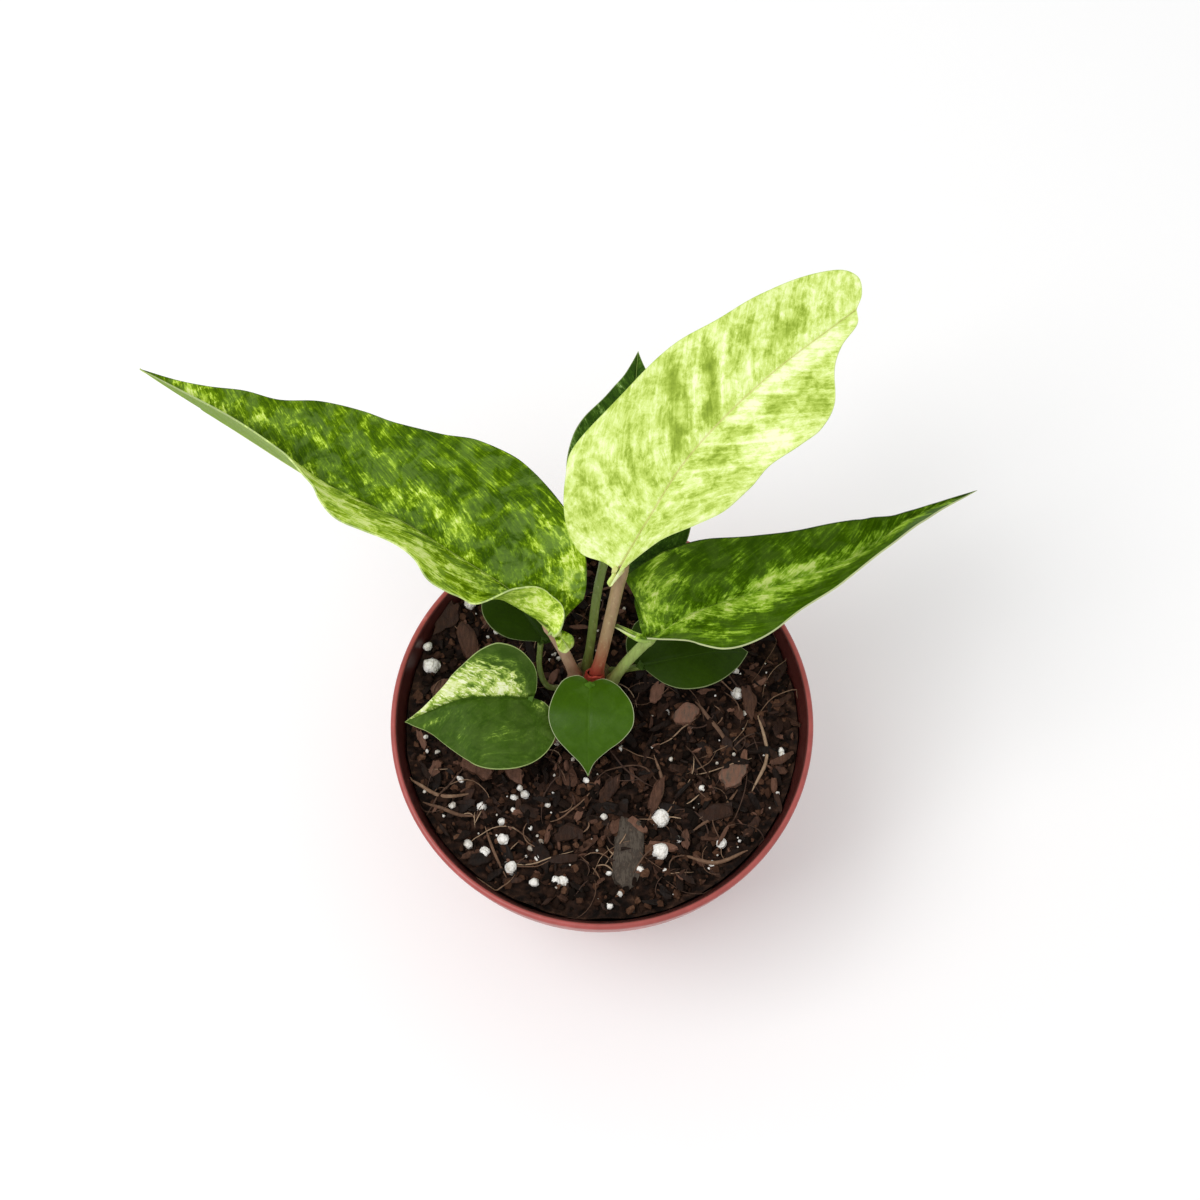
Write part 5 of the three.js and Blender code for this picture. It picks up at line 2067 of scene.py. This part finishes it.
LEAVES = (
    Leaf(
        name="left",
        spine=(
            (-7.2, 9.2, 103), (-11.2, 12.6, 109), (-20, 19.6, 113.5), (-32.4, 26.9, 117), (-46, 35, 119.5),
            (-64.5, 44.2, 121), (-86, 58.6, 120), (-109.4, 75.3, 116),
        ),
        left=Half(
            edge=(
                (-7.4, 0), (-6.9, 1.5), (-5, 2.4), (-3.2, 1.9), (-1.8, 0.9), (0.5, 3), (1, 9), (6, 15),
                (13.5, 16.6), (20, 14.8), (24.5, 17.4), (29, 19.2), (33.5, 16.4), (40, 15.6), (47, 16.6),
                (53, 18.6), (57.5, 16.4), (61.5, 12), (68, 10.8), (76, 11), (86, 8.6), (98, 5), (108, 2.4),
            ),
            lift=(
                (0, 12), (0.008, 58), (0.06, 40), (0.12, 38), (0.2, 48), (0.3, 59), (0.4, 58), (0.47, 63),
                (0.53, 72), (0.6, 84), (1, 88),
            ),
            curl=((0, 0), (0.008, 52), (0.06, 75), (0.11, 50), (0.17, 0), (1, 0)),
            ripple=(0, 0, 0),
        ),
        right=Half(
            edge=(
                (-7.4, 0), (-6.9, 1.5), (-5, 2.4), (-3.2, 1.9), (-1.8, 0.9), (-0.2, 4), (0.6, 9.5),
                (3.8, 14.5), (8, 19), (15, 23), (27, 26), (37, 24.8), (44, 21.7), (53, 19.8), (64, 18.9),
                (74, 15.9), (83, 11), (92, 8.5), (100, 5.2), (108, 2.5),
            ),
            lift=((0, 12), (0.008, 25), (0.3, 15), (1, 10)),
            curl=((0, 0), (0.008, 5), (0.5, 0), (1, 0)),
            ripple=(0.8, 3, 1),
        ),
        stalk=STALK_LEFT,
        finish=FINISH_LEFT,
        slot="leaf_flecked",
        base_tone=0.25,
        vein_lean=1.8,
        plain_from=0.2,
        rows=210,
        patches=PATCHES_LEFT,
    ),
    Leaf(
        name="top",
        spine=(
            (1.7, 15.3, 130), (3.7, 18.5, 131.5), (9.4, 26.4, 138), (19, 39.6, 145), (35, 54.6, 151),
            (55, 69.6, 155),
        ),
        left=Half(
            edge=(
                (-4.4, 0), (-3.8, 0.9), (-1, 0.9), (-0.4, 3.4), (-1.1, 9), (2.3, 14.3), (10.8, 19.9),
                (17.3, 22), (29.5, 19.9), (44, 19.4), (54, 16.8), (63, 15.5), (72.4, 13.3), (80.4, 9.2),
                (82.4, 5.5), (80.6, 2),
            ),
            lift=((0, 15), (0.4, 8), (1, 5)),
            ripple=(0.4, 3, 0),
        ),
        right=Half(
            edge=(
                (-4.4, 0), (-3.8, 0.9), (-0.8, 1.2), (6, 6), (13, 11), (18, 14.6), (24, 17.2), (32, 16.7),
                (39, 15.9), (47, 18.2), (52.3, 18.9), (59, 15.9), (65, 8.8), (69.3, 5.8), (75, 3.8),
            ),
            lift=((0, 60), (0.15, 55), (0.3, 28), (0.45, 18), (0.7, 15), (1, 30)),
            ripple=(0.8, 3, 2),
        ),
        stalk=STALK_TOP,
        finish=FINISH_TOP,
        slot="leaf_pale",
        base_tone=0.6,
        rows=210,
        patches=PATCHES_TOP,
    ),
    Leaf(
        name="right",
        spine=(
            (2.7, 13.9, 107), (10.1, 11.5, 106), (20, 16.2, 109), (37.5, 21.2, 112.5), (49.7, 24.8, 114.5),
            (60.5, 29.4, 115.5), (70, 36.6, 116), (87.1, 44.9, 114),
        ),
        left=Half(
            edge=(
                (-7.6, 0), (-7.2, 0.8), (-1.2, 0.9), (-3.2, 3.6), (-6.4, 8), (-5, 13), (2, 16.5), (11, 17),
                (19, 16.6), (27.7, 14.3), (36.4, 12.4), (50.2, 10.4), (58.5, 7.3), (64, 3.2), (70, 1.6),
            ),
            lift=((0, 40), (0.5, 50), (1, 60)),
            ripple=(0.5, 2, 0),
        ),
        right=Half(
            edge=(
                (-7.6, 0), (-7.2, 0.8), (-0.5, 1), (4, 6), (8, 11.4), (12, 16.2), (17, 18.6), (25, 17.4),
                (35.2, 14), (44, 13.6), (54, 12.2), (65, 9), (75, 3.6),
            ),
            lift=((0, 60), (0.2, 40), (0.35, 38), (0.5, 50), (0.65, 66), (0.8, 60), (1, 50)),
            ripple=(0.4, 2, 1),
        ),
        stalk=STALK_RIGHT,
        finish=FINISH_RIGHT,
        slot="leaf_green",
        base_tone=0.25,
        vein_lean=1.7,
        rows=210,
        patches=PATCHES_RIGHT,
    ),
    Leaf(
        name="back",
        spine=((0, 24.6, 112), (1.1, 29.7, 114), (3.6, 40.3, 119), (6.9, 58.6, 123), (8.4, 75.8, 124)),
        left=Half(
            edge=(
                (-0.8, 0), (-2.2, 2.2), (-0.6, 4.6), (4, 7.6), (9, 11), (15.6, 14.6), (23, 14.6),
                (28, 12.6), (34.3, 7.9), (38, 5.4), (41.6, 3), (45.2, 1.3),
            ),
            lift=((0, 22), (0.3, 35), (1, 25)),
            ripple=(0.3, 2, 0),
        ),
        right=Half(
            edge=(
                (-0.8, 0), (-4, 4), (-2, 11), (3.4, 16.8), (9, 18.2), (20, 16), (30, 10.5), (38, 5.4),
                (44, 2),
            ),
            lift=((0, 10), (1, 20)),
            ripple=(0.3, 2, 0),
        ),
        stalk=STALK_BACK,
        finish=FINISH_BACK,
        slot="leaf_dark",
        base_tone=0.22,
        patches=PATCHES_BACK,
    ),
    Leaf(
        name="heart_left",
        spine=((-13.6, 3.1, 86), (-17.1, 2.8, 87), (-24.1, 2.3, 89.5), (-33.6, 1.4, 90), (-47, -2.2, 84)),
        left=Half(
            edge=(
                (-0.8, 0), (-3.6, 1.4), (-5.6, 5), (-5, 10.4), (-1, 15.2), (5, 18), (11, 17.8), (17, 15.6),
                (22, 10.8), (26.4, 5.2), (30, 2),
            ),
            ripple=(0.3, 2, 0),
        ),
        right=Half(
            edge=(
                (-0.8, 0), (-1.2, 3), (-0.4, 7.2), (3, 10.8), (6.5, 13.6), (9, 14), (12, 12.2), (15.4, 8.2),
                (19, 4.8), (25, 2),
            ),
            lift=((0, 45), (1, 40)),
            ripple=(0.3, 2, 0),
        ),
        stalk=STALK_HEART_LEFT,
        finish=FINISH_HEART_LEFT,
        slot="leaf_heart",
        base_tone=0.1,
        vein_depth=0.02,
        rib_depth=0.6,
        patches=PATCHES_HEART_LEFT,
    ),
    Leaf(
        name="heart_front",
        spine=((-2.7, 8.3, 87), (-2.9, 5.5, 88), (-3.1, -2, 89), (-3.3, -8.6, 86.5), (-3.3, -14.8, 81.5)),
        left=Half(
            edge=(
                (-0.8, 0), (-2.2, 3), (-1.2, 5.6), (0.9, 7.7), (5, 10.2), (9.6, 10.5), (13, 8.2), (16, 4.6),
                (19, 1.6),
            ),
            curl=((0, -10), (1, -10)),
        ),
        right=Half(
            edge=(
                (-0.8, 0), (-2.6, 2.6), (-2, 5), (0, 7.2), (5.3, 9.3), (9.1, 9.4), (12.6, 7.9), (16, 4.8),
                (19.2, 1.9),
            ),
            curl=((0, -10), (1, -10)),
        ),
        stalk=STALK_HEART_FRONT,
        finish=FINISH_HEART_FRONT,
        slot="leaf_heart",
        base_tone=0.26,
        vein_depth=0.02,
        rib_depth=0.6,
    ),
    Leaf(
        name="low_left",
        spine=(
            (-13, 15.4, 85.5), (-14.2, 17.3, 86.5), (-18.5, 23.2, 88.3), (-23, 29.2, 88.5),
            (-27.5, 35, 86.5),
        ),
        left=Half(
            edge=((-0.8, 0), (0.4, 1), (3.2, 4.6), (6, 7.2), (10, 8.6), (14.2, 8), (18, 5), (21, 2)),
        ),
        right=Half(
            edge=((-0.8, 0), (-1, 2), (0.5, 4.5), (5, 8), (10, 8.5), (15, 6), (19, 2.6)),
            lift=((0, 10), (1, 5)),
        ),
        stalk=STALK_LOW_LEFT,
        finish=FINISH_LOW,
        slot="leaf_dark",
        base_tone=0.2,
        vein_depth=0.02,
        rib_depth=0.6,
    ),
    Leaf(
        name="low_right",
        spine=((6.7, 11, 85), (9.4, 11.2, 86), (18.7, 12.5, 88), (27.1, 14.2, 87.5), (35.3, 15.2, 84.5)),
        left=Half(
            edge=((-0.8, 0), (-3, 3), (-2.5, 8), (3, 12), (10, 12), (17, 8), (22, 3.5)),
        ),
        right=Half(
            edge=(
                (-0.8, 0), (0.6, 1), (3, 3.7), (5.1, 5.8), (8.3, 7.7), (12.5, 8.5), (16, 8.1), (19.3, 6.9),
                (23.2, 4.3), (25.4, 2),
            ),
        ),
        stalk=STALK_LOW_RIGHT,
        finish=FINISH_LOW,
        slot="leaf_dark",
        base_tone=0.24,
        vein_depth=0.02,
        rib_depth=0.6,
    ),
)

# What lies on the mix

# Bark chips as x, y, length, width, turn in degrees and paleness from 0 to 1
BARK = (
    (6.2, -32, 18, 7, 84, 0.95), (20.5, 2, 7, 5, 30, 0.72), (31.5, -12.8, 8, 6, 50, 0.76),
    (-30, -11, 8, 5, -20, 0.52), (-21.5, -12, 8, 3.6, -50, 0.6), (-38, 27, 9, 5, 60, 0.3),
    (-33, 21, 10, 4.4, -70, 0.42), (-29, 15, 7, 5, 20, 0.3), (13, -18, 10, 3, 72, 0.5),
    (-8, -27, 7, 4.4, 15, 0.26), (2, -16, 9, 3.4, 60, 0.35), (36, 6, 8, 3.6, 100, 0.45),
    (27, -22, 9, 4, 10, 0.26), (22, 28, 10, 5, 35, 0.4), (-10, 38, 9, 5, 160, 0.4),
)

# Thicker twigs, each a few points as x, y
TWIGS = (
    ((22.8, 5.6), (27, 0), (32.5, -7)), ((-46.8, -13.8), (-38, -18.5), (-31, -17.2)),
    ((-43, -19.5), (-35, -22.5), (-29.8, -23)), ((-28, -25.3), (-25.6, -32), (-22.6, -37.9)),
    ((18.7, -32.1), (27.2, -34.4), (34.5, -31.7)), ((38, 2), (40, -8), (36, -17)),
    ((12.6, -8), (14.6, -16), (11, -24)), ((33, -16), (28, -22), (21, -27)), ((-3, 34), (8, 37), (16, 34)),
)

# Perlite grains as x, y, diameter
PERLITE = (
    (-42, 15, 5), (-43, 19.5, 2.6), (33.3, 8, 3.4), (14, -23, 4.8), (13.8, -31.8, 4), (28.4, -29.6, 2.8),
    (-29, -20.5, 2.8), (-21.2, -18.4, 2.4), (-18.6, -17.5, 2.4), (-19.8, -15.8, 1.8), (-23.6, -28.7, 3),
    (-31.8, -29.9, 2.6), (-27.9, -31.9, 2.6), (-21.6, -35.6, 3.4), (-17.4, -25.7, 1.8), (-15.3, -32.8, 1.8),
    (-16, -39, 2.4), (-10.9, -38.5, 2.6), (-9.2, -38.5, 2.6), (9.2, -36, 2), (0.5, -23.2, 2), (4.8, -6, 1.8),
    (-24, -24, 2), (24, -15.9, 2), (15.8, 3.5, 1.8), (-13, -20, 1.6), (-34, -14, 1.8), (-20, 35, 3.2),
    (34, 25, 3), (5, 43, 3.4), (-33, 31, 3),
)


def main() -> None:
    """Builds every piece, then the studio."""
    logging.basicConfig(level=logging.INFO, format="%(name)s: %(message)s")
    pot = NurseryPot()
    pieces = pot.build()
    pieces += PottingMix(pot, bark=BARK, perlite=PERLITE, twigs=TWIGS).build()
    pieces += Crown().build()
    for leaf in LEAVES:
        pieces += leaf.build()
    Studio().build()
    log.info("%d pieces, %d faces", len(pieces), sum(len(piece.data.polygons) for piece in pieces))


if __name__ == "__main__":
    main()
